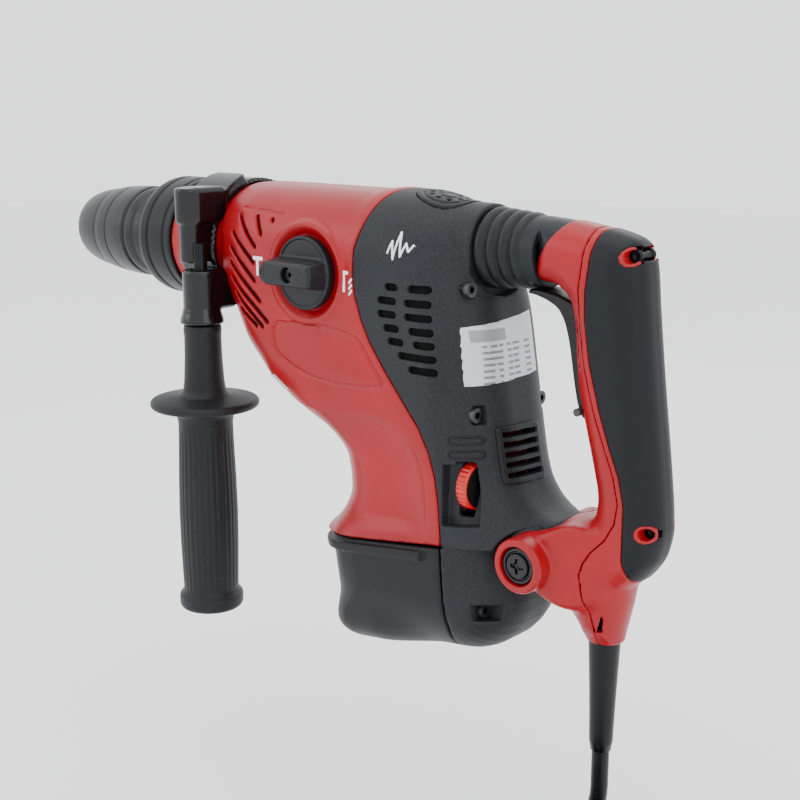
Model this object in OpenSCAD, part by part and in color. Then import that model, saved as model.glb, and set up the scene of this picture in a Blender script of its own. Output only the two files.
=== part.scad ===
// Rotary hammer with an upright motor, a keyless tool holder, a swivelling side handle
// and a sprung rear handle.
// The origin is the mouth of the tool holder, on the hammer axis. +X runs to the rear,
// -Y is the side with the mode dial and +Z is up.

/* [Barrel and housing] */
// Outer radius of the round barrel
barrel_r = 36; // [34:0.5:37]
// Front edge of the red gear cover
cover_x = 161; // [158:1:163]
// Radius of the neck that carries the side handle
neck_r = 34.5; // [34:0.1:35]
// Wall thickness of the covers
wall = 3; // [2.5:0.1:3.2]
// Half the width of the flat sides
side_w = 39.5; // [39:0.1:40.5]

/* [Leg and base] */
// Rearward lean of the motor leg
leg_tilt = 8; // [7:0.5:9]
// Half the length of the leg from front to rear
leg_l = 60; // [59:0.5:61]
// Half the width of the base
base_w = 42; // [41:0.5:43]
// Height of the base below its seam
base_h = 62; // [60:1:64]

/* [Chuck] */
// Bore for the tool shank
shank_r = 9; // [8.8:0.1:9.2]
// Outer radius of the tool holder
holder_r = 16.5; // [16:0.1:17]
// Outer radius of the rubber collar
collar_r = 36; // [35:0.5:37]

/* [Hammer drive] */
// Running clearance on a radius
fit = 0.05; // [0.02:0.01:0.08]
// Bore of the spindle tube
tube_r = 19; // [18.5:0.5:19.5]
// Throw of the crank
throw = 12; // [10:1:12]
// Length of the connecting rod between its eyes
rod_l = 66; // [64:1:68]
// Axis of the crank
crank_x = 305; // [304:1:306]

/* [Motor] */
// Outer radius of the stator
stator_r = 32; // [30:0.5:32]
// Radius of the armature
armature_r = 19; // [18:0.5:19]
// Teeth of the motor pinion
pinion_teeth = 8; // [8:1:8]
// Teeth of the crank gear
crank_teeth = 44; // [44:1:44]
// Teeth of the spindle drive gear
drive_teeth = 60; // [60:1:60]

/* [Side handle] */
// Axis of the side grip along the hammer axis
grip_x = 159; // [157:1:160]
// Axis of the side grip to the left
grip_y = -48; // [-49:0.5:-47]
// Radius of the grip
grip_r = 16.5; // [15:0.5:18]
// Radius of the hand guard
guard_r = 31.5; // [28:0.5:32]
// Lower end of the grip
grip_end_z = -214; // [-218:1:-200]

/* [Controls] */
// Axis of the mode dial along the hammer axis
dial_x = 236; // [235:1:237]
// Height of the mode dial's axis
dial_z = -8; // [-9:1:-7]
// Radius of the mode dial
dial_r = 20; // [18:1:21]
// Radius of the speed wheel
wheel_r = 13; // [12:0.5:13]

/* [Rear handle] */
// Height of the pivot at the foot of the rear handle
pivot_z = -140; // [-141:1:-139]
// Place of that pivot along the hammer axis
pivot_x = 376; // [375:1:377]
// Half the width of the rear handle
handle_w = 17; // [16:0.5:18]

/* [Cord] */
// Radius of the mains cord
cord_r = 4.5; // [4:0.1:4.5]
// Length of the tapered strain relief
relief_l = 62; // [50:1:70]
// Mean radius of the coil
coil_r = 50; // [45:1:55]

/* [Hidden] */
$fn = 48;
leg_x = 297;
leg_z = -104;
seam_z = -40;
collar_x = 83;
neck_x = 116;
band_x = 124;
motor_x = crank_x - (pinion_teeth + crank_teeth) / 2;
drive_x = motor_x - (pinion_teeth + drive_teeth) / 2;
gear_z = -64;
gear_h = 8;
bolt_r = 8;
wrist_x = crank_x + throw - rod_l;
relief_x = 405.5;
relief_z = -178;
floor_z = -329;
coil_h = 36;
coil_y = -coil_r;
plug_x = 422.7;
plug_y = -77.6;
plug_turn = -68.7;
cord_route = [
    [relief_x, 0, relief_z - relief_l],
    [relief_x, 0, -260],
    [relief_x, 0, -280],
    [relief_x, 0, floor_z + coil_h]
];
// the line on the flat sides where the red cover meets the dark one
cover_seam = [
    [276, 60], [276, 30], [273, 11], [270, 1], [271, -13], [275, -27], [282, -40],
    [292, -52], [303, -67], [314, -82], [324, -97], [329, -115], [331, -139], [331, -175]
];
// the line where the base cap meets the dark cover
base_seam = [[331, -120], [331, -150], [333, -165], [336, -176], [342, -186], [354, -205], [360, -230]];
// outline of the whole rear handle, counter-clockwise seen from the dial side
handle_line = [
    [361, -6], [361, 29], [386, 27], [408, 24], [419, 21], [424, 15], [426, 6], [427, -12],
    [431, -45], [436, -81], [439, -105], [440, -120], [437, -132], [430, -143], [421, -151],
    [420, -160], [418, -172], [415, -180], [396, -180], [392, -172], [386, -166], [372, -166],
    [364, -160], [362, -150], [362, -132], [364, -124], [370, -119], [394, -119], [399, -115],
    [401, -105], [397, -88], [392, -70], [388, -54], [386, -39], [385, -21], [383, -11], [376, -6]
];
handle_seam = [
    [407.5, 60], [407.5, 22], [405.5, 10], [402.5, -5], [401.5, -20], [403.5, -40], [409.5, -62],
    [413.5, -77], [417.5, -91], [419.5, -104], [418, -114], [413, -123], [407, -130],
    [403.5, -136], [402, -142], [403.5, -152], [406, -161], [408, -172], [409, -210]
];
pad_seam = [
    [410, 60], [410, 22], [408, 10], [405, -5], [404, -20], [406, -40], [412, -62], [416, -77],
    [420, -91], [422, -104], [422, -133], [424, -143], [430, -210]
];
hollow_line = [
    [391, 14], [412, 13], [416, 6], [418, -12], [422, -45], [427, -81], [430, -105], [430, -122],
    [417, -138], [412, -150], [411, -172], [401, -172], [404, -140], [411, -120], [408, -100],
    [401, -76], [396, -54], [393, -39], [391, -21]
];
trigger_line = [
    [359, -10.5], [368, -12.5], [376, -15.5], [380, -21], [383, -32], [385, -43], [387, -54],
    [389, -62], [392, -68], [396, -68], [398, -62], [396, -40], [394, -22], [390, -14], [380, -10]
];

function arc(x, y, r, a, b, n) =
    [for (i = [0:n]) [x + r * cos(a + (b - a) * i / n), y + r * sin(a + (b - a) * i / n)]];
// rounded rectangle with front corners of radius f and rear corners of radius r
function plan(x0, x1, w, f, r) = concat(
    arc(x1 - r, w - r, r, 0, 90, 5), arc(x0 + f, w - f, f, 90, 180, 4),
    arc(x0 + f, f - w, f, 180, 270, 4), arc(x1 - r, r - w, r, 270, 360, 5)
);
// outline of a gear with slim straight-sided teeth of module 1
function gear_line(n) = [
    for (i = [0:n - 1], p = [[-1.15, 0.29], [0.75, 0.13], [0.75, -0.13], [-1.15, -0.29]])
        (n / 2 + p[0]) * [cos(360 / n * (i - p[1])), sin(360 / n * (i - p[1]))]
];

// a round solid along X from a list of [radius, x]
module turned_x(line) {
    rotate([0, 90, 0]) rotate_extrude($fn = 96) polygon(line);
}

module tube_x(x0, x1, outer, inner) {
    turned_x([[inner, x0], [outer, x0], [outer, x1], [inner, x1]]);
}

module tube_z(z0, z1, outer, inner) {
    rotate_extrude() polygon([[inner, z0], [outer, z0], [outer, z1], [inner, z1]]);
}

module rod_x(x0, x1, r) {
    translate([x0, 0, 0]) rotate([0, 90, 0]) cylinder(r = r, h = x1 - x0);
}

module rod_y(y0, y1, r) {
    translate([0, y1, 0]) rotate([90, 0, 0]) cylinder(r = r, h = y1 - y0);
}

// an outline in X and Z, given thickness from y0 to y1
module slab(y0, y1) {
    translate([0, y1, 0]) rotate([90, 0, 0]) linear_extrude(y1 - y0) children();
}

module both_sides() {
    children();
    mirror([0, 1, 0]) children();
}

module in_leg() {
    translate([leg_x, 0, leg_z]) rotate([0, -leg_tilt, 0]) children();
}

// the housing above the base seam, made smaller all round by g
module body_form(g, foot) {
    rod_x(cover_x + g, 300, barrel_r - g);
    translate([299, 0, 0]) rotate([0, 75.5, 0])
        cylinder(r1 = 33 - g, r2 = 20.5 - g, h = 36 - g);
    intersection() {
        translate([0, 0, -130]) linear_extrude(160) polygon(plan(171 + g, 345 - g, side_w - g, 14, 34));
        slab(-60, 60) polygon([
            [165, 20 - g], [165, -30 + g], [176 + g, -50 + g], [190 + g, -66 + g], [215 + g, -81 + g],
            [232 + g, -92 + g], [243 + g, -108], [243 + g, -115], [330, -115], [352, -20], [330, 20 - g]
        ]);
    }
    in_leg() translate([0, 0, foot]) linear_extrude(92 - g - foot)
        polygon(plan(g - leg_l, leg_l - g, side_w + 0.5 - g, 22 - g, 34 - g));
    in_leg() translate([0, 0, foot]) linear_extrude(12 - g / 2)
        polygon(plan(g - leg_l - 16, 10, base_w - 1 - g, 24 - g, 12));
}

module base_form(g, top) {
    in_leg() intersection() {
        translate([0, 0, -120]) linear_extrude(120 + top)
            polygon(plan(g - leg_l - 18, leg_l - 1 - g, base_w - g, 24 - g, 36 - g));
        slab(-60, 60) polygon(concat(
            [[leg_l + 2, 10], [-leg_l - 20, 10]],
            arc(16 - leg_l - 18, seam_z - base_h + 16, 16 - g, 180, 270, 4),
            arc(leg_l - 36, seam_z - base_h + 35, 35 - g, 270, 360, 7)
        ));
    }
}

module red_side(gap) {
    slab(-60, 60) polygon(concat([[100, -175], [100, 60]], [for (p = cover_seam) p - [gap, 0]]));
}

module dark_side() {
    slab(-60, 60) polygon(concat([[420, -175], [420, 60]], cover_seam));
}

module base_front(gap) {
    slab(-60, 60) polygon(concat([[200, -230], [200, -120]], [for (p = base_seam) p - [gap, 0]]));
}

module base_rear() {
    slab(-60, 60) polygon(concat([[420, -230], [420, -120]], base_seam));
}

module square_slot(x0, x1, z, h) {
    translate([x0, -60, z - h / 2]) cube([x1 - x0, 120, h]);
}

// the slanting slots in the cover's sides: start along X and Z, slope and length
side_vents = [
    [180, 18, 46, 22], [177, 9, 42, 23], [175, 0, 40, 26], [174, -8, 38, 31], [176, -16, 37, 35],
    [179, -24, 37, 29], [183, -32, 36, 18], [195, 18, 58, 12]
];
screw_places = [[335, -9, 25], [341, -71, 27], [348, -172, 27]];

module gear_cover() {
    color([0.78, 0.16, 0.2]) difference() {
        union() {
            intersection() {
                difference() {
                    body_form(0, seam_z);
                    difference() {
                        body_form(wall, seam_z - 1);
                        both_sides() translate([dial_x, 0, dial_z]) rod_y(-45, -33, 10);
                    }
                }
                red_side(0.3);
            }
            tube_x(neck_x, cover_x + 1, neck_r, 31.5);
        }
        rod_x(neck_x - 1, cover_x + wall + 1, 31.5);
        translate([dial_x, 0, dial_z]) rod_y(-45, -38.2, 24);
        translate([dial_x, 0, dial_z]) rod_y(-45, -30, 6 + fit);
        for (v = side_vents) translate([v[0], 0, v[1]]) rotate([0, v[2], 0])
            translate([0, -60, -1]) cube([v[3], 120, 2]);
    }
}

module rear_cover() {
    color([0.28, 0.29, 0.31]) difference() {
        union() {
            intersection() {
                difference() {
                    body_form(0, seam_z);
                    body_form(wall, seam_z - 1);
                }
                dark_side();
            }
            intersection() {
                difference() {
                    base_form(0, seam_z);
                    base_form(wall, seam_z + 1);
                }
                base_rear();
            }
            intersection() {
                union() {
                    body_form(0, seam_z);
                    base_form(0, seam_z);
                }
                both_sides() for (s = screw_places)
                    translate([s[0] - 9, -44, s[1] - 7]) cube([30, 44 - s[2] + 6, 14]);
            }
            pivot_lug();
        }
        translate([0, 0, 9]) rod_x(333.1, 362, 21);
        translate([303, 0, 33.1]) cylinder(r = 17.1, h = 5);
        for (i = [0:4]) {
            square_slot(293 - abs(i - 1.5), 302, -10 - 7 * i, 4);
            square_slot(307, 323, -10 - 7 * i, 4);
        }
        square_slot(302, 326, -43 - 2, 4);
        square_slot(309, 327, -50 - 2, 4);
        both_sides() for (s = screw_places) translate([s[0], -s[2], s[1]]) {
            translate([0, -20, -4.5]) cube([14, 24.5, 9]);
            rod_x(-10, 1, 2.05);
        }
        translate([336, -50, -124]) cube([16, 32, 32]);
        in_leg() for (i = [0:4]) translate([40, -24, 10 + 5 * i]) cube([30, 30, 2.4]);
        translate([0, 0, 9]) rod_x(320, 345, 16);
        translate([pivot_x, 0, pivot_z]) rod_y(-30, 30, 5 + fit);
    }
}

// the lug on which the rear handle swings
module pivot_lug() {
    slab(-19.5, 19.5) polygon(concat(
        [[352, -126], [352, -156]], arc(pivot_x, pivot_z, 12, 270, 450, 10)
    ));
}

module base_cap() {
    color([0.2, 0.21, 0.23]) {
        intersection() {
            difference() {
                base_form(0, seam_z - 0.3);
                base_form(wall, seam_z + 1);
            }
            base_front(0.3);
        }
        in_leg() difference() {
            translate([0, 0, seam_z - 7]) linear_extrude(5)
                polygon(plan(-leg_l - 20.5, 20, base_w + 2, 26, 4));
            translate([0, 0, seam_z - 8]) linear_extrude(7)
                polygon(plan(-leg_l - 18 + 0.5, 30, base_w - 0.5, 23.5, 4));
        }
    }
}

module front_collar() {
    color([0.1, 0.11, 0.12]) turned_x([
        [31.45, collar_x], [33, collar_x], [34.8, collar_x + 2], [collar_r - 0.3, collar_x + 6],
        [collar_r, collar_x + 12], [collar_r, neck_x - 2], [collar_r - 0.6, neck_x - 0.1],
        [31.45, neck_x - 0.1]
    ]);
}

module barrel_casting() {
    color([0.7, 0.7, 0.72]) turned_x([
        [holder_r + 2, 86], [31.4, 86], [31.4, 222], [31.35, 222], [29, 222], [29, 217],
        [29, 128], [27, 128], [27, 116], [25, 116], [25, 90], [holder_r + 2, 90]
    ]);
}

module deck(z0, z1) {
    intersection() {
        body_form(wall + 0.4, seam_z);
        translate([170, -50, z0]) cube([172, 100, z1 - z0]);
    }
}

module gear_deck() {
    color([0.72, 0.72, 0.74]) difference() {
        deck(-41, -36);
        translate([crank_x, 0, -50]) cylinder(r = 6 + fit, h = 20);
        translate([drive_x, 0, -50]) cylinder(r = 5 + fit, h = 20);
    }
}

module gear_plate() {
    color([0.72, 0.72, 0.74]) difference() {
        deck(-75, -68);
        translate([crank_x, 0, -80]) cylinder(r = 6 + fit, h = 20);
        translate([drive_x, 0, -80]) cylinder(r = 5 + fit, h = 20);
        translate([motor_x, 0, -80]) cylinder(r = 11, h = 20);
        for (s = screw_places) both_sides() translate([s[0] - 24, -s[2], s[1]]) rod_x(-1, 40, 8);
    }
}

module crank_cap() {
    color([0.2, 0.21, 0.23]) translate([303, 0, 0]) intersection() {
        tube_z(28, 40, 17, 0.01);
        rod_x(-20, 20, barrel_r - 1.2);
        difference() {
            translate([-20, -20, 33.2]) cube([40, 40, 4]);
            for (i = [0:7]) rotate([0, 0, 45 * i]) translate([10, 0, 34.3]) cylinder(r = 1.2, h = 4);
        }
    }
}

module type_plate() {
    color([0.7, 0.71, 0.72]) in_leg() intersection() {
        difference() {
            translate([0, 0, 47]) linear_extrude(30)
                polygon(plan(0.6 - 60, leg_l + 0.6, side_w + 1.1, 21, 34.6));
            linear_extrude(100) polygon(plan(-leg_l, leg_l + 0.02, side_w + 0.52, 21, 34.02));
        }
        translate([36, -31, 40]) cube([40, 54, 45]);
    }
}

module rear_grille() {
    color([0.2, 0.21, 0.23]) in_leg() difference() {
        intersection() {
            difference() {
                translate([0, 0, 4]) linear_extrude(34)
                    polygon(plan(-leg_l, leg_l + 2, side_w + 2.5, 21, 36));
                linear_extrude(100) polygon(plan(-leg_l, leg_l + 0.02, side_w + 0.52, 21, 34.02));
            }
            translate([40, -28, 0]) cube([40, 38, 45]);
        }
        for (i = [0:4]) translate([40, -24, 10 + 5 * i]) cube([30, 30, 2.4]);
    }
}

module housing_screws() {
    color([0.15, 0.15, 0.16]) both_sides() for (s = screw_places) translate([s[0], -s[2], s[1]]) {
        difference() {
            rod_x(0, 3, 3.8);
            rod_x(1.5, 4, 1.6);
        }
        rod_x(-9.5, 0.5, 2);
    }
}

module spindle_bearings() {
    color([0.75, 0.76, 0.78]) {
        tube_x(116.2, 126, 27, holder_r + fit);
        tube_x(206, 216, 29, tube_r + 4 + fit);
    }
}

module motor_bearings() {
    color([0.75, 0.76, 0.78]) translate([motor_x, 0, 0]) {
        tube_z(-75, -68, 11, 4 + fit);
        tube_z(-157, -150, 9, 4 + fit);
    }
}

module stator_core() {
    color([0.5, 0.5, 0.52]) translate([motor_x, 0, 0]) tube_z(-132, -89, stator_r, armature_r + 1);
}

module stator_windings() {
    color([0.72, 0.38, 0.18]) translate([motor_x, 0, 0]) {
        tube_z(-138, -132, stator_r - 3, armature_r + 3);
        tube_z(-89, -85, stator_r - 3, armature_r + 3);
    }
}

module motor_end_plate() {
    color([0.25, 0.25, 0.27]) translate([motor_x, 0, 0]) tube_z(-157, -150, 28, 9);
}

module brush_holders() {
    color([0.72, 0.6, 0.3]) translate([motor_x, 0, 0]) both_sides() difference() {
        translate([-5, 12.5, -149.5]) cube([10, 14, 10]);
        translate([-3.1, 12, -147.6]) cube([6.2, 13, 6.2]);
    }
}

module carbon_brushes() {
    color([0.12, 0.12, 0.12]) translate([motor_x, 0, 0]) both_sides() difference() {
        translate([-3, 9, -147.5]) cube([6, 13, 6]);
        translate([0, 0, -160]) cylinder(r = 11.3, h = 30);
    }
}

module speed_module() {
    color([0.15, 0.3, 0.2]) translate([264, -25, -193]) cube([64, 50, 26]);
}

module speed_dial_base() {
    color([0.15, 0.15, 0.17]) difference() {
        translate([322, -30, -116]) cube([12, 12, 16]);
        translate([0, -24, -108]) rod_x(325, 340, 3 + fit);
    }
}

module armature_shaft() {
    color([0.6, 0.61, 0.63]) translate([motor_x, 0, 0]) {
        translate([0, 0, -158]) cylinder(r = 4, h = 94);
        translate([0, 0, gear_z - 0.5]) linear_extrude(gear_h + 1) rotate([0, 0, 180 / pinion_teeth])
            polygon(gear_line(pinion_teeth));
    }
}

module armature_core() {
    color([0.45, 0.45, 0.47]) translate([motor_x, 0, 0]) difference() {
        tube_z(-130, -91, armature_r, 4);
        for (i = [0:11]) rotate([0, 0, 30 * i]) translate([armature_r - 3, -0.8, -131])
            cube([5, 1.6, 42]);
    }
}

module commutator() {
    color([0.72, 0.42, 0.22]) translate([motor_x, 0, 0]) tube_z(-148, -134, 11, 4);
}

module cooling_fan() {
    color([0.12, 0.12, 0.13]) translate([motor_x, 0, 0]) {
        tube_z(-84, -82, 29, 4);
        tube_z(-82, -76.5, 8, 4);
        for (i = [0:10]) rotate([0, 0, 360 / 11 * i]) translate([7.5, -0.7, -82.5]) cube([21, 1.4, 6]);
    }
}

module crankshaft() {
    color([0.62, 0.63, 0.65]) translate([crank_x, 0, 0]) {
        translate([0, 0, -75]) cylinder(r = 6, h = 62);
        translate([0, 0, gear_z]) linear_extrude(gear_h) polygon(gear_line(crank_teeth));
        translate([0, 0, -15]) cylinder(r = throw + 6, h = 7);
        translate([throw, 0, -9]) cylinder(r = 4, h = 3.7);
    }
}

module connecting_rod() {
    color([0.6, 0.6, 0.62]) difference() {
        union() {
            translate([wrist_x, 0, -5]) cylinder(r = 9, h = 10);
            translate([crank_x + throw, 0, -5]) cylinder(r = 8, h = 10);
            translate([wrist_x + 4, -4, -4]) cube([rod_l - 8, 8, 8]);
        }
        translate([wrist_x, 0, -10]) cylinder(r = 4 + fit, h = 20);
        translate([crank_x + throw, 0, -10]) cylinder(r = 4 + fit, h = 20);
    }
}

module piston() {
    color([0.66, 0.66, 0.69]) difference() {
        rod_x(wrist_x - 33, wrist_x + 12, tube_r - fit);
        translate([wrist_x - 13, -12, -5.5]) cube([40, 24, 11]);
        rod_x(wrist_x + 6, wrist_x + 13, 16);
        translate([wrist_x, 0, -20]) cylinder(r = 4, h = 40);
        tube_x(wrist_x - 28, wrist_x - 24, tube_r + 1, tube_r - 3);
    }
}

module piston_ring() {
    color([0.1, 0.1, 0.1]) tube_x(wrist_x - 28, wrist_x - 24, tube_r - 0.02, tube_r - 3);
}

module wrist_pin() {
    color([0.7, 0.7, 0.72]) translate([wrist_x, 0, -16]) cylinder(r = 4, h = 32);
}

module striker() {
    color([0.55, 0.56, 0.58]) turned_x([
        [0, 158], [9, 158], [9, 164], [tube_r - fit, 166], [tube_r - fit, 190], [14, 190],
        [12, 186], [0, 186]
    ]);
}

module impact_bolt() {
    color([0.6, 0.61, 0.63]) turned_x([
        [0, 68], [7, 68], [bolt_r, 70], [bolt_r, 92], [12, 96], [12, 112], [bolt_r, 116],
        [bolt_r, 149], [0, 150]
    ]);
}

module drive_shaft() {
    color([0.62, 0.63, 0.65]) translate([drive_x, 0, 0]) {
        translate([0, 0, -75]) cylinder(r = 5, h = 41);
        translate([0, 0, gear_z]) linear_extrude(gear_h) polygon(gear_line(drive_teeth));
        translate([0, 0, -35]) cylinder(r1 = 5.6, r2 = 4.6, h = 9);
        for (i = [0:11]) rotate([0, 0, 30 * i]) translate([4, -0.4, -33]) cube([2.2, 0.8, 6]);
    }
}

module tool_holder() {
    color([0.58, 0.59, 0.61]) difference() {
        turned_x([
            [shank_r, 0], [15, 0], [holder_r, 3], [holder_r, 62], [shank_r, 62]
        ]);
        for (a = [0, 180]) rotate([a, 0, 0]) translate([33, -3.7, 10]) cube([14, 7.4, 10]);
    }
}

module spindle_tube() {
    color([0.58, 0.59, 0.61]) difference() {
        turned_x([
            [shank_r + 0.2, 62], [holder_r, 62], [holder_r, 132], [20, 136], [tube_r + 4, 140],
            [tube_r + 4, 266], [tube_r, 266], [tube_r, 152], [bolt_r + 0.2, 152], [bolt_r + 0.2, 128],
            [12.5, 122], [12.5, 86], [bolt_r + 0.2, 82], [bolt_r + 0.2, 64]
        ]);
        for (a = [90, 210, 330]) rotate([a, 0, 0]) translate([228, -2, 19]) cylinder(r = 1.5, h = 6);
    }
}

module spindle_gear() {
    color([0.6, 0.6, 0.62]) {
        tube_x(219, 232, 26.5, tube_r + 4);
        turned_x([[tube_r + 4, 231], [28, 231], [28.6, 233], [28.6, 236], [tube_r + 4, 236]]);
        for (i = [0:59]) rotate([6 * i + 3, 0, 0]) translate([235, -0.5, 24]) cube([3, 1, 4.5]);
    }
}

module lock_rollers() {
    color([0.72, 0.72, 0.74]) for (a = [0, 180]) rotate([a, 0, 0]) translate([0, 0, 13.6])
        rod_x(34, 46, 3.5);
}

module nose_cap() {
    color([0.12, 0.13, 0.14]) turned_x([
        [shank_r + 1.5, -2], [18.5, -2], [20.5, -0.5], [22.5, 4], [24.4, 12], [25.6, 20], [26, 25.6],
        [21, 25.6], [21, 27], [holder_r + 0.02, 27], [holder_r + 0.02, 2.98], [15.02, -0.05], [shank_r + 1.5, -0.05]
    ]);
}

module locking_sleeve() {
    color([0.13, 0.14, 0.15]) turned_x([
        [21.6, 26], [26.4, 26], [27, 27.5], [28.4, 48], [28.4, 57], [27.2, 58.2], [27.2, 59.6],
        [28, 60.6], [27.6, 63], [26, 66], [25.2, 74.5], [24, 74.5], [24, 52], [17.2, 52],
        [17.2, 30], [21.6, 28]
    ]);
}

module chuck_spring() {
    color([0.7, 0.7, 0.72]) for (i = [0:7]) rotate([0, 90, 0]) rotate_extrude()
        translate([21, 54 + 3.9 * i]) circle(1.1, $fn = 16);
}

module side_clamp() {
    color([0.06, 0.06, 0.07]) difference() {
        union() {
            tube_x(band_x, 158, 37.4, neck_r + fit);
            translate([143, grip_y, -34]) cube([26, 22, 44]);
            translate([143, -47, 0]) cube([15, 22, 24]);
            translate([150, grip_y, 14]) cylinder(r = 7.6, h = 19);
            translate([153, grip_y, -8]) cylinder(r = 9, h = 23);
            translate([grip_x, grip_y, -36]) cylinder(r = 10.4, h = 24);
            translate([grip_x, grip_y, -42]) cylinder(r1 = 12.6, r2 = 10.4, h = 8);
        }
        rod_x(band_x - 5, 175, neck_r + fit);
        translate([170, 0, 0]) rod_x(-12, 5, 37.4);
        translate([140, -70, -12]) cube([40, 36, 3]);
        translate([grip_x, grip_y, -50]) cylinder(r = 4 + fit, h = 54);
    }
}

module clamp_bolt() {
    color([0.55, 0.56, 0.58]) translate([grip_x, grip_y, 0]) {
        translate([0, 0, -110]) cylinder(r = 4, h = 113);
        translate([0, 0, -110]) cylinder(r = 7, h = 5, $fn = 6);
    }
}

module side_grip() {
    color([0.2, 0.21, 0.22]) translate([grip_x, grip_y, 0]) rotate_extrude($fn = 96) polygon([
        [4.02, -42.3], [10.2, -42.3], [10.6, -46], [12.4, -84], [guard_r - 3, -86.8],
        [guard_r, -88.6], [guard_r, -90.4], [guard_r - 2, -91.6], [19, -93], [16, -97],
        [grip_r, -115], [grip_r + 0.5, -150], [grip_r - 0.6, -190], [grip_r - 1, -203],
        [18.6, -206.5], [19, -208.5], [18.8, grip_end_z + 2], [17.5, grip_end_z], [12, grip_end_z],
        [12, -118], [7.1, -118], [7.1, -104.9], [4.02, -104.9]
    ]);
}

module mode_dial() {
    color([0.16, 0.18, 0.2]) translate([dial_x, 0, dial_z]) difference() {
        union() {
            rod_y(-43, -38.6, dial_r);
            rod_y(-40, -33.5, 6);
            translate([-21.5, -54, -8]) cube([42.5, 12, 16]);
        }
        rod_y(-60, -48, 4);
        rod_y(-60, -30, 2);
    }
}

module dial_screw() {
    color([0.3, 0.3, 0.32]) translate([dial_x, 0, dial_z]) difference() {
        union() {
            rod_y(-51, -48.1, 3.4);
            rod_y(-48.5, -34, 1.95);
        }
        rod_y(-52, -49.6, 1.2);
    }
}

module speed_wheel() {
    color([0.88, 0.24, 0.12]) translate([0, -24, -108]) difference() {
        union() {
            rod_x(341, 347, wheel_r);
            rod_x(326, 342, 3);
        }
        for (i = [0:35]) rotate([10 * i, 0, 0]) translate([340, -0.35, wheel_r - 0.8])
            cube([5, 0.7, 2]);
    }
}

module handle_region(line) {
    slab(-60, 60) polygon(concat(line, [[340, -210], [340, 60]]));
}

// the handle's solid form: arms and grip, then the wider foot round the pivot
module handle_form() {
    intersection() {
        slab(-handle_w, handle_w) polygon(handle_line);
        translate([0, 0, -200]) linear_extrude(260) polygon(plan(340, 445, handle_w, 2, 9));
    }
    slab(-27, 27) polygon(concat(
        arc(pivot_x, pivot_z, 14, 90, 270, 8), [[398, -163], [406, -157], [408, -140], [404, -124], [398, -119]]
    ));
    both_sides() translate([pivot_x, 0, pivot_z]) rod_y(-36, -26, 14);
    translate([relief_x + 1, 0, -181]) cylinder(r1 = 10.5, r2 = 13.5, h = 30);
}

module handle_hollow() {
    slab(-13, 13) polygon(hollow_line);
    translate([relief_x, 0, -190]) cylinder(r = 8.5, h = 30);
    slab(-20, 20) polygon([[350, -112], [383, -112], [392, -126], [392, -155], [383, -163], [350, -175]]);
    translate([pivot_x, 0, pivot_z]) {
        rod_y(-40, 40, 5);
        rod_y(-40, -32, 10);
        rod_y(32, 40, 10);
    }
    slab(-9.4, 9.4) polygon([
        [350, -20], [357, -4], [376, -4], [396, -2], [410, -8], [410, -70], [388, -74], [382, -60]
    ]);
    translate([0, 0, 9]) rod_x(350, 380, 9);
    translate([393, 0, -64]) rod_y(-13, 13, 2);
}

module handle_screw_holes(r) {
    for (p = [[419, 12], [434, -116]]) translate([p[0], 0, p[1]]) rod_y(-20, 20, r);
}

module handle_front() {
    color([0.78, 0.16, 0.2]) difference() {
        intersection() {
            handle_form();
            handle_region([for (p = handle_seam) p - [0.2, 0]]);
        }
        handle_hollow();
    }
}

module handle_rear() {
    color([0.78, 0.16, 0.2]) difference() {
        intersection() {
            handle_form();
            handle_region([for (p = pad_seam) p - [0.2, 0]]);
        }
        handle_region(handle_seam);
        handle_hollow();
        handle_screw_holes(2.6);
    }
}

module grip_pad() {
    color([0.12, 0.14, 0.16]) difference() {
        handle_form();
        handle_region(pad_seam);
        handle_hollow();
        handle_screw_holes(2.6);
    }
}

module handle_screws() {
    color([0.3, 0.3, 0.32]) intersection() {
        handle_screw_holes(2.55);
        translate([400, -13, -150]) cube([60, 26, 200]);
    }
}

module pivot_bolts() {
    color([0.2, 0.2, 0.22]) translate([pivot_x, 0, pivot_z]) {
        rod_y(-34.5, 34.5, 4.95);
        both_sides() difference() {
            rod_y(-34.5, -32.1, 9.9);
            rod_y(-35, -33.6, 5);
        }
    }
}

module trigger() {
    color([0.1, 0.11, 0.12]) difference() {
        slab(-8.8, 8.8) polygon(trigger_line);
        translate([393, 0, -64]) rod_y(-10, 10, 2);
        slab(-6, 6) polygon([[387, -20], [400, -20], [400, -60], [391, -60]]);
    }
}

module power_switch() {
    color([0.14, 0.14, 0.16]) {
        translate([400, -8, -52]) cube([15, 16, 34]);
        translate([393, 0, -64]) rod_y(-12.9, 12.9, 1.95);
        translate([406.6, -8.6, -92]) cube([3, 17.2, 32]);
    }
}

module handle_spring() {
    color([0.65, 0.66, 0.68]) for (i = [0:7]) translate([0, 0, 9]) rotate([0, 90, 0])
        rotate_extrude() translate([7, 337 + 4.6 * i]) circle(1.2, $fn = 16);
}

module bellows() {
    color([0.2, 0.24, 0.27]) translate([0, 0, 9]) turned_x(concat(
        [[15, 333.2]], [for (i = [0:4]) each [[20.6 - 0.9 * i, 333.2 + 5.5 * i], [18.4 - 0.9 * i, 336.6 + 5.5 * i]]],
        [[16.4, 360.8], [13.4, 360.8], [13.4, 345]]
    ));
}

module strain_relief() {
    color([0.08, 0.08, 0.09]) translate([relief_x, 0, relief_z - relief_l]) difference() {
        union() {
            cylinder(r1 = 6.2, r2 = 8.2, h = relief_l);
            translate([0, 0, relief_l - 1]) cylinder(r = 8.4, h = 8);
        }
        translate([0, 0, -1]) cylinder(r = cord_r, h = relief_l + 10);
    }
}

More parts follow.
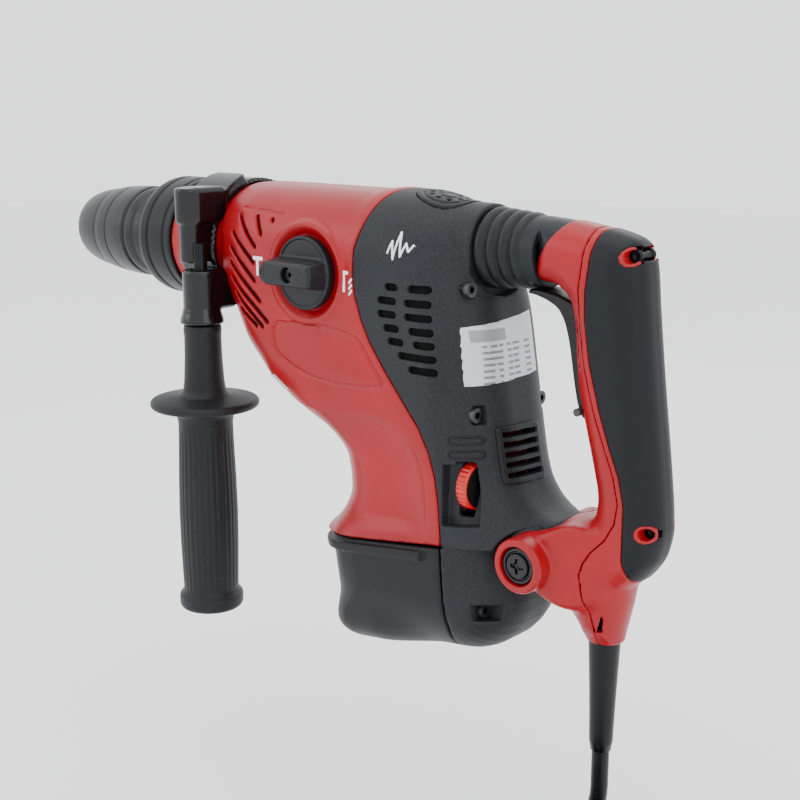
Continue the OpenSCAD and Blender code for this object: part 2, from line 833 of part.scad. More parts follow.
// a tube swept along the route's points, each ring level
module swept(route, r, sides) {
    rings = [for (p = route, i = [0:sides - 1])
        p + r * [cos(360 / sides * i), sin(360 / sides * i), 0]];
    last = len(route) - 1;
    faces = concat(
        [[for (i = [0:sides - 1]) i]],
        [for (k = [0:last - 1], i = [0:sides - 1])
            [k * sides + i, (k + 1) * sides + i, (k + 1) * sides + (i + 1) % sides, k * sides + (i + 1) % sides]],
        [[for (i = [sides - 1:-1:0]) last * sides + i]]
    );
    polyhedron(rings, faces);
}

module power_cord() {
    color([0.08, 0.08, 0.09]) swept(cord_route, cord_r, 12);
}

module cord_coil() {
    color([0.08, 0.08, 0.09]) translate([relief_x, coil_y, floor_z]) tube_z(0, coil_h, coil_r + 13.5, coil_r - 13.5);
}

// the plug lies on the coil, its cable end where the cord comes up through the middle
module plug_place() {
    translate([plug_x, plug_y, floor_z + coil_h]) rotate([0, 0, plug_turn]) translate([-14, 0, 0]) children();
}

module plug_body() {
    color([0.1, 0.1, 0.11]) plug_place() difference() {
            linear_extrude(20) polygon([[6, 0], [22, 0], [28, 22], [28, 50], [0, 50], [0, 22]]);
            for (x = [4.5, 23.5]) translate([x, 40, 10]) rotate([-90, 0, 0]) cylinder(r = 2.4, h = 20);
        }
}

module plug_pins() {
    color([0.75, 0.76, 0.78]) plug_place() for (x = [4.5, 23.5])
            translate([x, 40.1, 10]) rotate([-90, 0, 0]) cylinder(r = 2.38, h = 28.9);
}

gear_cover();
rear_cover();
base_cap();
front_collar();
barrel_casting();
gear_deck();
gear_plate();
crank_cap();
type_plate();
rear_grille();
housing_screws();
spindle_bearings();
motor_bearings();
stator_core();
stator_windings();
motor_end_plate();
brush_holders();
carbon_brushes();
speed_module();
speed_dial_base();
armature_shaft();
armature_core();
commutator();
cooling_fan();
crankshaft();
connecting_rod();
piston();
piston_ring();
wrist_pin();
striker();
impact_bolt();
drive_shaft();
tool_holder();
spindle_tube();
spindle_gear();
lock_rollers();
nose_cap();
locking_sleeve();
chuck_spring();
side_clamp();
clamp_bolt();
side_grip();
mode_dial();
dial_screw();
speed_wheel();
handle_front();
handle_rear();
grip_pad();
handle_screws();
pivot_bolts();
trigger();
power_switch();
handle_spring();
bellows();
strain_relief();
power_cord();
cord_coil();
plug_body();
plug_pins();
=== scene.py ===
# Rotary hammer with side grip, sprung rear handle and keyless chuck.
import math
import bpy
import numpy as np
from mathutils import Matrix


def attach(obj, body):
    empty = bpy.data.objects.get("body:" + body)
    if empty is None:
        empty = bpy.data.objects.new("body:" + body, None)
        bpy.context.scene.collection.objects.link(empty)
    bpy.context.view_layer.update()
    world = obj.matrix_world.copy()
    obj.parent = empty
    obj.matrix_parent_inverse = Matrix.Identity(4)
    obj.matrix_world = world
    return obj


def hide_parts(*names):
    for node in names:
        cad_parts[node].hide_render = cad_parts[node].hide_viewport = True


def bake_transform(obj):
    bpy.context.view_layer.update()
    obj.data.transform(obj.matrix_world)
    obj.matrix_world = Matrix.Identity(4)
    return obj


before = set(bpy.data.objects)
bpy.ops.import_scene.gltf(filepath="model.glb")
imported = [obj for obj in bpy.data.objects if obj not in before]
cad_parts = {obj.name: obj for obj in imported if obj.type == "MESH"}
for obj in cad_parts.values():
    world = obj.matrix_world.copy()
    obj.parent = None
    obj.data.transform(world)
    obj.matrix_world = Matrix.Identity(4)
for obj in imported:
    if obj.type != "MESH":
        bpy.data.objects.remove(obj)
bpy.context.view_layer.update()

import openvdb
from mathutils import Matrix, Vector

mm = 0.001
print("loaded", len(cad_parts), "parts")


# camera and light

view = {
    "place": (0.72819, -0.51097, 0.07946),
    "azimuth": 42.0,
    "elevation": 13.0,
    "lens": 57.65,
}


def makeCamera(spec):
    turn = math.radians(spec["azimuth"])
    rise = math.radians(spec["elevation"])
    back = Vector((math.sin(turn) * math.cos(rise), -math.cos(turn) * math.cos(rise), math.sin(rise)))
    right = Vector((0, 0, 1)).cross(back).normalized()
    up = back.cross(right)
    camera = bpy.data.objects.new("camera", bpy.data.cameras.new("camera"))
    camera.data.lens = spec["lens"]
    camera.data.sensor_width = 36
    camera.data.clip_start = 0.01
    camera.matrix_world = Matrix.Translation(spec["place"]) @ Matrix((right, up, back)).transposed().to_4x4()
    bpy.context.scene.collection.objects.link(camera)
    bpy.context.scene.camera = camera


makeCamera(view)

studio = {
    "sky": (0.97, 0.98, 1.0, 1),
    "skyStrength": 1.9,
    "softboxes": [  # name, place, size, power, aim
        ("overhead", (0.25, -0.15, 1.15), 0.9, 4.5, (0.26, 0, 0)),
        ("keyLeft", (-0.75, -1.15, 0.65), 0.8, 4, (0.22, 0, -0.05)),
        ("rearRight", (1.35, -0.35, 0.5), 0.7, 2.5, (0.35, 0, -0.08)),
        ("farSide", (0.1, 1.2, 0.6), 0.9, 3, (0.25, 0, -0.05)),
    ],
    "floor": -0.329,
    "floorReach": 4,
}


def makeStudio(spec):
    world = bpy.data.worlds.new("studio")
    world.use_nodes = True
    background = world.node_tree.nodes["Background"]
    background.inputs["Color"].default_value = spec["sky"]
    background.inputs["Strength"].default_value = spec["skyStrength"]
    bpy.context.scene.world = world
    for name, place, size, power, aim in spec["softboxes"]:
        lamp = bpy.data.objects.new(name, bpy.data.lights.new(name, "AREA"))
        lamp.data.size = size
        lamp.data.energy = power
        lamp.location = place
        lamp.rotation_euler = (Vector(aim) - Vector(place)).to_track_quat("-Z", "Y").to_euler()
        bpy.context.scene.collection.objects.link(lamp)


makeStudio(studio)
print("camera and lights ready")


# shader helper: a wrapped socket, so that shader maths reads as sums

class Value:
    def __init__(self, paint, socket):
        self.paint = paint
        self.socket = socket

    def maths(self, operation, *others, flip=False):
        terms = [self, *others]
        if flip:
            terms.reverse()
        return self.paint.add("ShaderNodeMath", {"operation": operation}, dict(enumerate(terms)))

    def __add__(self, other):
        return self.maths("ADD", other)

    def __radd__(self, other):
        return self.maths("ADD", other)

    def __sub__(self, other):
        return self.maths("SUBTRACT", other)

    def __rsub__(self, other):
        return self.maths("SUBTRACT", other, flip=True)

    def __mul__(self, other):
        return self.maths("MULTIPLY", other)

    def __rmul__(self, other):
        return self.maths("MULTIPLY", other)

    def __abs__(self):
        return self.maths("ABSOLUTE")

    def between(self, low, high):  # 0 below low, 1 above high
        return self.paint.add(
            "ShaderNodeMapRange", {"interpolation_type": "SMOOTHSTEP"},
            {"Value": self, "From Min": low, "From Max": high},
        )

    def highest(self, other):
        return self.maths("MAXIMUM", other)


class Paint:
    def __init__(self, name):
        self.material = bpy.data.materials.new(name)
        self.material.use_nodes = True
        self.tree = self.material.node_tree
        self.tree.nodes.clear()
        self.place = self.add("ShaderNodeTexCoord", out="Object")

    def add(self, kind, settings=None, inputs=None, out=0):
        node = self.tree.nodes.new(kind)
        for key, value in (settings or {}).items():
            setattr(node, key, value)
        for key, value in (inputs or {}).items():
            if isinstance(value, Value):
                self.tree.links.new(value.socket, node.inputs[key])
            else:
                node.inputs[key].default_value = value
        return Value(self, node.outputs[out])

    def noise(self, size, detail=3, roughness=0.55, stretch=None):  # size of one blotch, in metres
        place = self.place
        if stretch:
            place = self.add("ShaderNodeVectorMath", {"operation": "MULTIPLY"}, {0: place, 1: stretch})
        inputs = {"Vector": place, "Scale": 1 / size, "Detail": detail, "Roughness": roughness}
        return self.add("ShaderNodeTexNoise", None, inputs, out="Fac")

    def cells(self, size):
        inputs = {"Vector": self.place, "Scale": 1 / size}
        return self.add("ShaderNodeTexVoronoi", None, inputs, out="Distance")

    def mix(self, factor, first, second):
        inputs = {0: factor, 6: first, 7: second}
        return self.add("ShaderNodeMix", {"data_type": "RGBA"}, inputs, out=2)

    def axis(self, name):
        return self.add("ShaderNodeSeparateXYZ", None, {0: self.place}, out=name)

    def edges(self, low, high):  # lighter on outer edges, part real wear and part painted highlight
        return self.add("ShaderNodeNewGeometry", out="Pointiness").between(low, high)

    def bump(self, height, depth, strength=1.0):
        inputs = {"Height": height, "Distance": depth, "Strength": strength}
        return self.add("ShaderNodeBump", None, inputs, out="Normal")

    def finish(self, varied, fixed=None):
        shader = self.add("ShaderNodeBsdfPrincipled", None, {**(fixed or {}), **varied}, out="BSDF")
        output = self.tree.nodes.new("ShaderNodeOutputMaterial")
        self.tree.links.new(shader.socket, output.inputs["Surface"])
        return self.material


def tone(red, green, blue):  # screen colour to shader colour
    def linear(part):
        part = part / 255
        return part / 12.92 if part <= 0.04045 else ((part + 0.055) / 1.055) ** 2.4
    return (linear(red), linear(green), linear(blue), 1)


def mouldedPlastic(name, look):
    colour, deep, pale, grainSize, depth, speckle, rough, spread, wearAndHighlightStrength, level = look
    paint = Paint(name)
    patches = paint.noise(0.045, 3)
    grain = paint.noise(grainSize, 2, 0.7)
    pits = paint.cells(grainSize * 2.2)
    specks = grain.between(0.42, 0.72)
    # outer edges painted lighter: part wear, part painted highlight
    wearAndHighlight = paint.edges(0.53, 0.62) * paint.noise(0.006, 4).between(0.42, 0.66) * wearAndHighlightStrength
    shade = paint.mix(patches.between(0.3, 0.7), tone(*deep), tone(*colour))
    shade = paint.mix(specks * speckle, shade, tone(*pale))
    shade = paint.mix(wearAndHighlight, shade, tone(*pale))
    roughness = rough + (patches - 0.5) * spread + (grain - 0.5) * 0.14
    height = grain * 0.75 + pits.between(0.0, 0.6) * 0.25
    varied = {"Base Color": shade, "Roughness": roughness, "Normal": paint.bump(height, depth)}
    return paint.finish(varied, {"Specular IOR Level": level})


plasticLooks = {  # colour, deep, pale; grain, depth, speckle, rough, spread, edge wear and painted highlight, specular level
    "redPlastic": (
        (150, 0, 14), (138, 0, 10), (190, 40, 50),
        0.0008, 0.00006, 0.12, 0.36, 0.12, 0.45, 0.35,
    ),
    "darkPlastic": (
        (26, 28, 32), (20, 22, 26), (62, 66, 72),
        0.0011, 0.00016, 0.22, 0.52, 0.1, 0.4, 0.24,
    ),
    "basePlastic": (
        (13, 15, 17), (9, 11, 13), (44, 48, 52),
        0.0009, 0.00010, 0.16, 0.46, 0.12, 0.35, 0.24,
    ),
    "softRubber": (
        (12, 15, 19), (8, 11, 14), (40, 46, 52),
        0.0007, 0.00007, 0.12, 0.47, 0.1, 0.15, 0.22,
    ),
    "bellowsRubber": (
        (18, 22, 27), (12, 16, 20), (56, 64, 72),
        0.0009, 0.00006, 0.12, 0.44, 0.1, 0.3, 0.26,
    ),
    "gripPlastic": (
        (16, 18, 20), (11, 13, 15), (52, 56, 60),
        0.0010, 0.00014, 0.2, 0.5, 0.1, 0.4, 0.26,
    ),
    "collarRubber": (
        (8, 9, 10), (5, 6, 7), (34, 37, 40),
        0.0008, 0.00006, 0.1, 0.4, 0.12, 0.3, 0.22,
    ),
    "glossBlack": (
        (4, 5, 7), (3, 3, 4), (34, 38, 44),
        0.003, 0.00004, 0.06, 0.2, 0.1, 0.5, 0.4,
    ),
    "chuckBlack": (
        (16, 18, 20), (11, 12, 14), (66, 70, 75),
        0.0007, 0.00005, 0.14, 0.36, 0.12, 0.5, 0.34,
    ),
    "dialPlastic": (
        (15, 19, 23), (10, 13, 17), (56, 63, 70),
        0.0008, 0.00008, 0.14, 0.42, 0.1, 0.55, 0.3,
    ),
    "triggerPlastic": (
        (8, 9, 11), (5, 6, 8), (38, 42, 46),
        0.0008, 0.00006, 0.1, 0.38, 0.1, 0.5, 0.3,
    ),
    "wheelPlastic": (
        (190, 6, 6), (172, 4, 4), (226, 60, 50),
        0.0007, 0.00004, 0.12, 0.34, 0.1, 0.5, 0.5,
    ),
    "cordRubber": (
        (5, 6, 7), (3, 4, 5), (26, 28, 31),
        0.0006, 0.00003, 0.1, 0.38, 0.12, 0.1, 0.25,
    ),
    "innerPlastic": (
        (46, 47, 49), (36, 37, 39), (84, 86, 88),
        0.0012, 0.00008, 0.2, 0.5, 0.1, 0.2, 0.45,
    ),
    "whitePrint": (
        (238, 240, 242), (222, 225, 228), (250, 250, 250),
        0.0006, 0.00002, 0.2, 0.4, 0.1, 0.1, 0.4,
    ),
    # painted shade: flat near-black for the backs of the slots and the wheel's hub
    "paintedShadeBlack": (
        (14, 14, 15), (8, 8, 9), (26, 26, 28),
        0.001, 0.00004, 0.2, 0.8, 0.1, 0.0, 0.1,
    ),
}
finishes = {name: mouldedPlastic(name, look) for name, look in plasticLooks.items()}


def machinedMetal(name, look):
    colour, deep, pale, rough, depth, metal, stretch = look
    paint = Paint(name)
    turned = paint.noise(0.0006, 3, 0.6, stretch)
    stains = paint.noise(0.012, 4)
    # outer edges painted paler: part wear, part painted highlight
    wearAndHighlight = paint.edges(0.53, 0.64)
    shade = paint.mix(stains.between(0.35, 0.7), tone(*colour), tone(*deep))
    shade = paint.mix(wearAndHighlight * 0.5, shade, tone(*pale))
    roughness = rough + (turned - 0.5) * 0.2 + (stains - 0.5) * 0.2
    varied = {"Base Color": shade, "Roughness": roughness, "Normal": paint.bump(turned, depth)}
    return paint.finish(varied, {"Metallic": metal})


metalLooks = {  # colour, deep, pale; rough, depth, metal, stretch of the tool marks
    "groundSteel": ((190, 193, 197), (160, 163, 168), (225, 227, 230), 0.28, 0.00002, 1.0, (6, 0.6, 0.6)),
    "castAlloy": ((188, 189, 190), (160, 162, 165), (220, 220, 222), 0.48, 0.00008, 1.0, (1, 1, 1)),
    "blackZinc": ((30, 32, 34), (22, 23, 25), (96, 100, 104), 0.36, 0.00003, 0.85, (1, 1, 1)),
    "stackedSteel": ((120, 122, 126), (84, 86, 90), (170, 172, 176), 0.45, 0.00010, 0.9, (0.2, 0.2, 3)),
    "windingCopper": ((196, 118, 70), (150, 82, 44), (226, 160, 110), 0.34, 0.00014, 1.0, (0.4, 2.5, 0.6)),
    "pressedBrass": ((200, 170, 96), (168, 138, 70), (230, 206, 140), 0.32, 0.00003, 1.0, (2, 2, 1)),
    "carbonBlock": ((44, 44, 46), (28, 28, 30), (90, 90, 92), 0.6, 0.00006, 0.1, (1, 1, 1)),
    "boardGreen": ((30, 84, 52), (20, 60, 38), (90, 150, 110), 0.35, 0.00004, 0.0, (1, 1, 1)),
    "plugPin": ((206, 208, 210), (180, 182, 186), (236, 236, 238), 0.2, 0.00001, 1.0, (4, 0.5, 1)),
}
finishes.update({name: machinedMetal(name, look) for name, look in metalLooks.items()})


def printedFoil(name):  # silver-grey foil with plain bars in place of lines
    paint = Paint(name)
    height = paint.axis("Z")
    across = paint.axis("Y")
    rowPlace = (height * 330).maths("FRACT")
    rows = rowPlace.between(0.42, 0.5) - rowPlace.between(0.86, 0.94)
    broken = paint.noise(0.0042, 1, 0.4, (0.6, 1, 0.05)).between(0.44, 0.5)
    inside = across.between(-0.0245, -0.0235) - across.between(0.012, 0.013)
    upper = height.between(-0.0365, -0.036)
    ink = rows * broken * inside * (1 - upper) * 0.75
    panel = height.between(-0.0352, -0.0348) - height.between(-0.0292, -0.0288)
    heading = panel * (across.between(-0.027, -0.0268) - across.between(-0.007, -0.0068)) * 0.6
    marks = ink.highest(heading)
    fine = paint.noise(0.0009, 2)
    foil = paint.mix(paint.noise(0.02, 2), tone(186, 190, 194), tone(200, 203, 206))
    colour = paint.mix(marks, foil, tone(70, 74, 80))
    varied = {"Base Color": colour, "Roughness": 0.34 + fine * 0.12, "Normal": paint.bump(fine, 0.00002)}
    return paint.finish(varied, {"Metallic": 0.25})


finishes["ratingFoil"] = printedFoil("ratingFoil")
print("finishes mixed:", len(finishes))

slotFinishes = {
    "red_shell": "redPlastic", "dark_shell": "darkPlastic", "base_shell": "basePlastic",
    "rubber": "softRubber", "grip": "gripPlastic", "gloss_black": "glossBlack",
    "casting": "castAlloy", "label": "whitePrint", "black_screws": "blackZinc",
    "steel": "groundSteel", "light_alloy": "castAlloy", "lamination": "stackedSteel",
    "copper": "windingCopper", "brush_brass": "pressedBrass", "carbon": "carbonBlock",
    "inner_plastic": "innerPlastic", "board": "boardGreen", "ring_seal": "collarRubber",
    "dial": "dialPlastic", "wheel": "wheelPlastic", "trigger": "triggerPlastic",
    "cord": "cordRubber", "pins": "plugPin",
}
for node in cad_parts.values():
    for place in node.material_slots:
        slotName = place.material.name.split(".")[0]
        if slotName not in slotFinishes:
            print("slot without a finish:", slotName)
        place.material = finishes[slotFinishes.get(slotName, "innerPlastic")]
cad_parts["clamp_bolt"].material_slots[0].material = finishes["blackZinc"]


# solid sketching: distances in millimetres, sampled on a block and skinned

class Block:
    def __init__(self, low, high, step):
        self.low = np.array(low, float)
        self.step = step
        axes = [np.arange(a, b + step, step, dtype=np.float32) for a, b in zip(low, high)]
        self.x, self.y, self.z = np.meshgrid(*axes, indexing="ij", sparse=True)
        self.shape = tuple(len(axis) for axis in axes)


def meet(a, b, r=0.0):  # both, with an outer edge rounded by r
    return np.minimum(np.maximum(a, b), -r) + np.hypot(np.maximum(a + r, 0), np.maximum(b + r, 0))


def join(a, b, k=0.0):  # either, with the inner corner filled by k
    if k == 0:
        return np.minimum(a, b)
    blend = np.maximum(k - np.abs(a - b), 0) / k
    return np.minimum(a, b) - blend * blend * k / 4


def cut(a, b, r=0.0):
    return meet(a, -b, r)


def allOf(*parts):  # inside every one, corners left sharp
    together = parts[0]
    for part in parts[1:]:
        together = np.maximum(together, part)
    return together


def anyOf(*parts):  # inside at least one
    together = parts[0]
    for part in parts[1:]:
        together = np.minimum(together, part)
    return together


def band(value, low, high):  # inside from low to high
    return np.maximum(low - value, value - high)


def ease(low, high, value):
    t = np.clip((value - low) / (high - low), 0, 1)
    return t * t * (3 - 2 * t)


def outline(u, v, points):  # distance to a closed outline, negative inside
    nearest = None
    inside = None
    for (ax, ay), (bx, by) in zip(points, points[1:] + points[:1]):
        ex = bx - ax
        ey = by - ay
        t = np.clip(((u - ax) * ex + (v - ay) * ey) / (ex * ex + ey * ey + 1e-9), 0, 1)
        gap = (u - ax - ex * t) ** 2 + (v - ay - ey * t) ** 2
        crossed = ((ay > v) != (by > v)) & (u < ex * (v - ay) / (ey if ey else 1e-9) + ax)
        nearest = gap if nearest is None else np.minimum(nearest, gap)
        inside = crossed if inside is None else inside ^ crossed
    return np.where(inside, -1, 1) * np.sqrt(nearest)


def softened(points, rounds=2):  # corners cut twice, which leaves a flowing line
    for _ in range(rounds):
        smoother = []
        for (ax, ay), (bx, by) in zip(points, points[1:] + points[:1]):
            smoother.append((0.8 * ax + 0.2 * bx, 0.8 * ay + 0.2 * by))
            smoother.append((0.2 * ax + 0.8 * bx, 0.2 * ay + 0.8 * by))
        points = smoother
    return points


def bar(u, v, start, end, r):  # a line with round ends, r to each side
    ex = end[0] - start[0]
    ey = end[1] - start[1]
    t = np.clip(((u - start[0]) * ex + (v - start[1]) * ey) / (ex * ex + ey * ey + 1e-9), 0, 1)
    return np.hypot(u - start[0] - ex * t, v - start[1] - ey * t) - r


def rod(u, v, w, centre, r, low, high, edge=0.5):  # round about w
    return meet(np.hypot(u - centre[0], v - centre[1]) - r, band(w, low, high), edge)


def brick(b, low, high, edge=0.5):
    parts = []
    for along, a, c in zip((b.x, b.y, b.z), low, high):
        parts.append(np.abs(along - (a + c) / 2) - (c - a) / 2 + edge)
    outer = np.sqrt(sum(np.maximum(part, 0) ** 2 for part in parts))
    return outer + np.minimum(np.maximum(np.maximum(parts[0], parts[1]), parts[2]), 0) - edge


def lean(b, spec):  # the leaning leg's own coordinates
    c = math.cos(math.radians(spec["lean"]))
    s = math.sin(math.radians(spec["lean"]))
    dx = b.x - spec["legX"]
    dz = b.z - spec["legZ"]
    return dx * c + dz * s, dz * c - dx * s


def meshFrom(name, points, faces, finish):
    mesh = bpy.data.meshes.new(name)
    mesh.from_pydata(points, [], faces)
    mesh.update()
    mesh.shade_smooth()
    piece = bpy.data.objects.new(name, mesh)
    bpy.context.scene.collection.objects.link(piece)
    if finish:
        mesh.materials.append(finishes[finish])
    return piece


def skin(name, block, distance, finish, most=180000):
    field = np.broadcast_to(distance, block.shape) / block.step
    grid = openvdb.FloatGrid(3.0)
    grid.copyFromArray(np.ascontiguousarray(np.clip(field, -3, 3), dtype=np.float32))
    points, _, quads = grid.convertToPolygons(0.0, 0.0)
    points = (points * block.step + block.low) * mm
    corner = points[quads[:, 0]]
    turn = np.cross(points[quads[:, 1]] - corner, points[quads[:, 2]] - corner)
    if (corner * turn).sum() < 0:
        quads = quads[:, ::-1]
    piece = meshFrom(name, points.tolist(), quads.tolist(), finish)
    triangles = 2 * len(quads)
    if triangles > most:
        trim = piece.modifiers.new("trim", "DECIMATE")
        trim.ratio = most / triangles
        bpy.context.view_layer.update()
        finished = bpy.data.meshes.new_from_object(piece.evaluated_get(bpy.context.evaluated_depsgraph_get()))
        piece.modifiers.clear()
        piece.data = finished
        finished.shade_smooth()
    print("skinned", name, len(piece.data.polygons), "faces")
    return piece


def lathe(name, line, finish, axis="x", centre=(0, 0, 0), around=96, wave=None):
    # line is a list of (radius, distance along the axis); wave varies the radius round the piece
    points = []
    for radius, along in line:
        for i in range(around):
            a = 2 * math.pi * i / around
            r = radius + (wave(a, along) if wave else 0)
            spot = (r * math.cos(a), r * math.sin(a), along)
            if axis == "x":
                spot = (along, r * math.cos(a), r * math.sin(a))
            points.append([(c + p) * mm for c, p in zip(centre, spot)])
    rings = len(line)
    faces = []
    for k in range(rings):
        following = (k + 1) % rings
        for i in range(around):
            j = (i + 1) % around
            faces.append((k * around + i, k * around + j, following * around + j, following * around + i))
    return meshFrom(name, points, faces, finish)


def rounded(line, r, steps=4):  # closed profile with each corner eased by r
    eased = []
    for i, (x, y) in enumerate(line):
        before = line[i - 1]
        after = line[(i + 1) % len(line)]
        sides = []
        for other in (before, after):
            dx = other[0] - x
            dy = other[1] - y
            length = math.hypot(dx, dy)
            reach = min(r, length * 0.45) / length
            sides.append((x + dx * reach, y + dy * reach))
        for k in range(steps + 1):
            t = k / steps
            eased.append(tuple(
                (1 - t) ** 2 * sides[0][n] + 2 * t * (1 - t) * (x, y)[n] + t * t * sides[1][n] for n in (0, 1)
            ))
    return eased


def place(piece, body, slot, *nodes):
    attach(piece, body)
    if nodes:
        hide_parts(*nodes)
    return piece


# mains cord: down from the strain relief, four layers of coil, up through the middle to the plug

cord = {
    "exit": (405.5, 0, -240),
    "diameter": 9.0,
    "length": 3.0,
    "centre": (405.5, -50),
    "layers": (-297.5, -306.5, -315.5, -324.5),
    "bend": 36,
    "firstDwell": 60,
    "lastSweep": 220,
    "plugHeight": -283,
}


def cordLine(spec):
    x, y, z = spec["exit"]
    cx, cy = spec["centre"]
    top, second, third, bottom = spec["layers"]
    line = [(x, y, z - k * (z - top - spec["bend"]) / 4) for k in range(4)]
    for k in range(8):
        s = math.radians(90 * k / 8)
        turned = math.radians(90) + spec["bend"] * (1 - math.cos(s)) / 50
        height = top + spec["bend"] * (1 - math.sin(s))
        line.append((cx + 50 * math.cos(turned), cy + 50 * math.sin(turned), height))
    angle = 90 + math.degrees(spec["bend"] / 50)
    radius, height = 50, top
    inwards = [(130, 59), (150, 50), (210, 50), (150, 41), (170, 41)]
    outwards = [(130, 41), (150, 50), (210, 50), (150, 59), (170, 59)]
    sweeps = [(spec["firstDwell"], 50, top), (150, 59, top), (150, 59, top), (80, 59, second)]
    sweeps += [(a, r, second) for a, r in inwards] + [(80, 41, third)]
    sweeps += [(a, r, third) for a, r in outwards] + [(80, 59, bottom)]
    sweeps += [(a, r, bottom) for a, r in inwards]
    sweeps += [(150, 32, bottom), (spec["lastSweep"], 32, spec["plugHeight"])]
    for sweep, nextRadius, nextHeight in sweeps:
        count = max(1, round(sweep / 20))
        for k in range(count):
            t = k / count
            t = t * t * (3 - 2 * t)
            a = math.radians(angle + sweep * k / count)
            r = radius + (nextRadius - radius) * t
            line.append((cx + r * math.cos(a), cy + r * math.sin(a), height + (nextHeight - height) * t))
        angle += sweep
        radius, height = nextRadius, nextHeight
    a = math.radians(angle)
    end = (cx + radius * math.cos(a), cy + radius * math.sin(a), height)
    ahead = (-math.sin(a), math.cos(a))
    line.append(end)
    line.append((end[0] + 6 * ahead[0], end[1] + 6 * ahead[1], height))
    heading = math.degrees(math.atan2(ahead[1], ahead[0])) % 360
    print("cord ends heading", round(heading, 1), [round(v, 1) for v in line[-1]])
    return line


def makeCord(spec):
    line = cordLine(spec)
    curve = bpy.data.curves.new("mainsCord", "CURVE")
    curve.dimensions = "3D"
    curve.resolution_u = 6
    curve.bevel_depth = spec["diameter"] / 2 * mm
    curve.bevel_resolution = 4
    curve.use_fill_caps = True
    spline = curve.splines.new("BEZIER")
    spline.bezier_points.add(len(line) - 1)
    for point, spot in zip(spline.bezier_points, line):
        point.co = [value * mm for value in spot]
        point.handle_left_type = "AUTO"
        point.handle_right_type = "AUTO"
    piece = bpy.data.objects.new("mainsCord", curve)
    bpy.context.scene.collection.objects.link(piece)
    curve.materials.append(finishes["cordRubber"])
    measured = sum(math.dist(a, b) for a, b in zip(line, line[1:]))
    print("cord about", round(measured), "mm along its points")
    return place(piece, "rear_handle", "cord", "power_cord", "cord_coil")


mainsCord = makeCord(cord)

plug = {
    "place": (422.7, -77.6, -283),
    "heading": 21.3,
    "outline": [
        (0, -8), (0, 8), (9, 12), (22, 14), (48, 13), (50, 11), (50, -11), (48, -13), (22, -14), (9, -12),
    ],
    "height": 9.5,
}


def makePlug(spec):
    b = Block((-6, -16, -12), (54, 16, 12), 0.6)
    body = meet(outline(b.x, b.y, softened(spec["outline"])), np.abs(b.z) - spec["height"], 3)
    for x in (8, 12, 16, 20):  # finger ribs
        body = cut(body, np.maximum(np.abs(b.x - x) - 0.8, 8.6 - np.abs(b.z)), 0.4)
    body = join(body, rod(b.y, b.z, b.x, (0, 0), 6.2, -5, 4, 1), 2)
    piece = skin("plugShell", b, body, "cordRubber")
    turn = Matrix.Rotation(math.radians(spec["heading"]), 4, "Z")
    piece.data.transform(Matrix.Translation([v * mm for v in spec["place"]]) @ turn)
    return place(piece, "rear_handle", "cord", "plug_body")


plugShell = makePlug(plug)
print("cord laid")


# housing: one flowing body, split into the red gear cover, the dark rear cover and the base cap

body = {
    "lean": 8, "legX": 297, "legZ": -104,
    "side": 39.5, "nose": 36.3, "flare": 42,
    "wall": 3.0, "gap": 0.35, "tuck": 4.5,
    "waist": [  # in front of this line the leg draws in
        (150, -110), (206, -81), (230, -82), (253, -81), (270, -79), (283, -78), (294, -79.5), (303, -83),
        (311, -88), (317, -96), (320.5, -107), (322, -122), (322, -150), (150, -150),
    ],
    "line": [
        (140, 36), (227, 35.5), (268, 35), (290, 34), (303, 31), (316, 22), (328, 8), (337, -6), (342, -18),
        (345, -33), (351, -70), (356, -98), (359, -108), (364, -115), (371, -120.5), (385, -124),
        (385, -162), (366, -163), (330, -175), (250, -175), (232, -158), (234, -150), (242, -143),
        (245, -136), (245, -121), (242.5, -109), (236.5, -99.5), (225, -91.8), (210, -83), (195.5, -74.5),
        (188, -66.5), (178, -57), (169, -46), (160, -37), (140, -36),
    ],
}
coverSeam = [
    (277, 60), (277, 34), (274.5, 18), (271.5, 6), (270.5, -6), (272, -18), (276, -29), (282, -40),
    (292, -53), (304.5, -67.5), (315.5, -80), (322.5, -92), (326.5, -104), (329, -118), (330.5, -135),
    (331, -185),
]
baseSeam = [
    (331, -120), (332, -140), (333.2, -156), (334.5, -170), (335, -182), (333, -192), (329, -202),
    (322, -230),
]
sideSlots = [  # slanting air slots in the gear cover
    ((180, 19), (195, 3)), ((176, 9.5), (193.5, -6)), ((174, 1), (194, -16)), ((173, -7.5), (198, -27)),
    ((174, -16), (204, -38)), ((177, -24), (200, -41)), ((181, -32.5), (195, -41)), ((194.5, 19), (200, 10)),
    ((207, 18), (207.4, 17.6)),
]
rearSlots = [  # level air slots in the rear cover
    ((295, -10), (300, -10)), ((310, -10), (319, -10)), ((290, -17), (299, -17)), ((308, -17), (320, -17)),
    ((290, -24), (299, -24)), ((308, -24), (321, -24)), ((294, -31), (301, -31)), ((311, -31), (322, -31)),
    ((297, -37.5), (304, -37.5)), ((314, -37.5), (323, -37.5)), ((304, -44), (324, -44)),
    ((311, -50.5), (325, -50.5)),
]


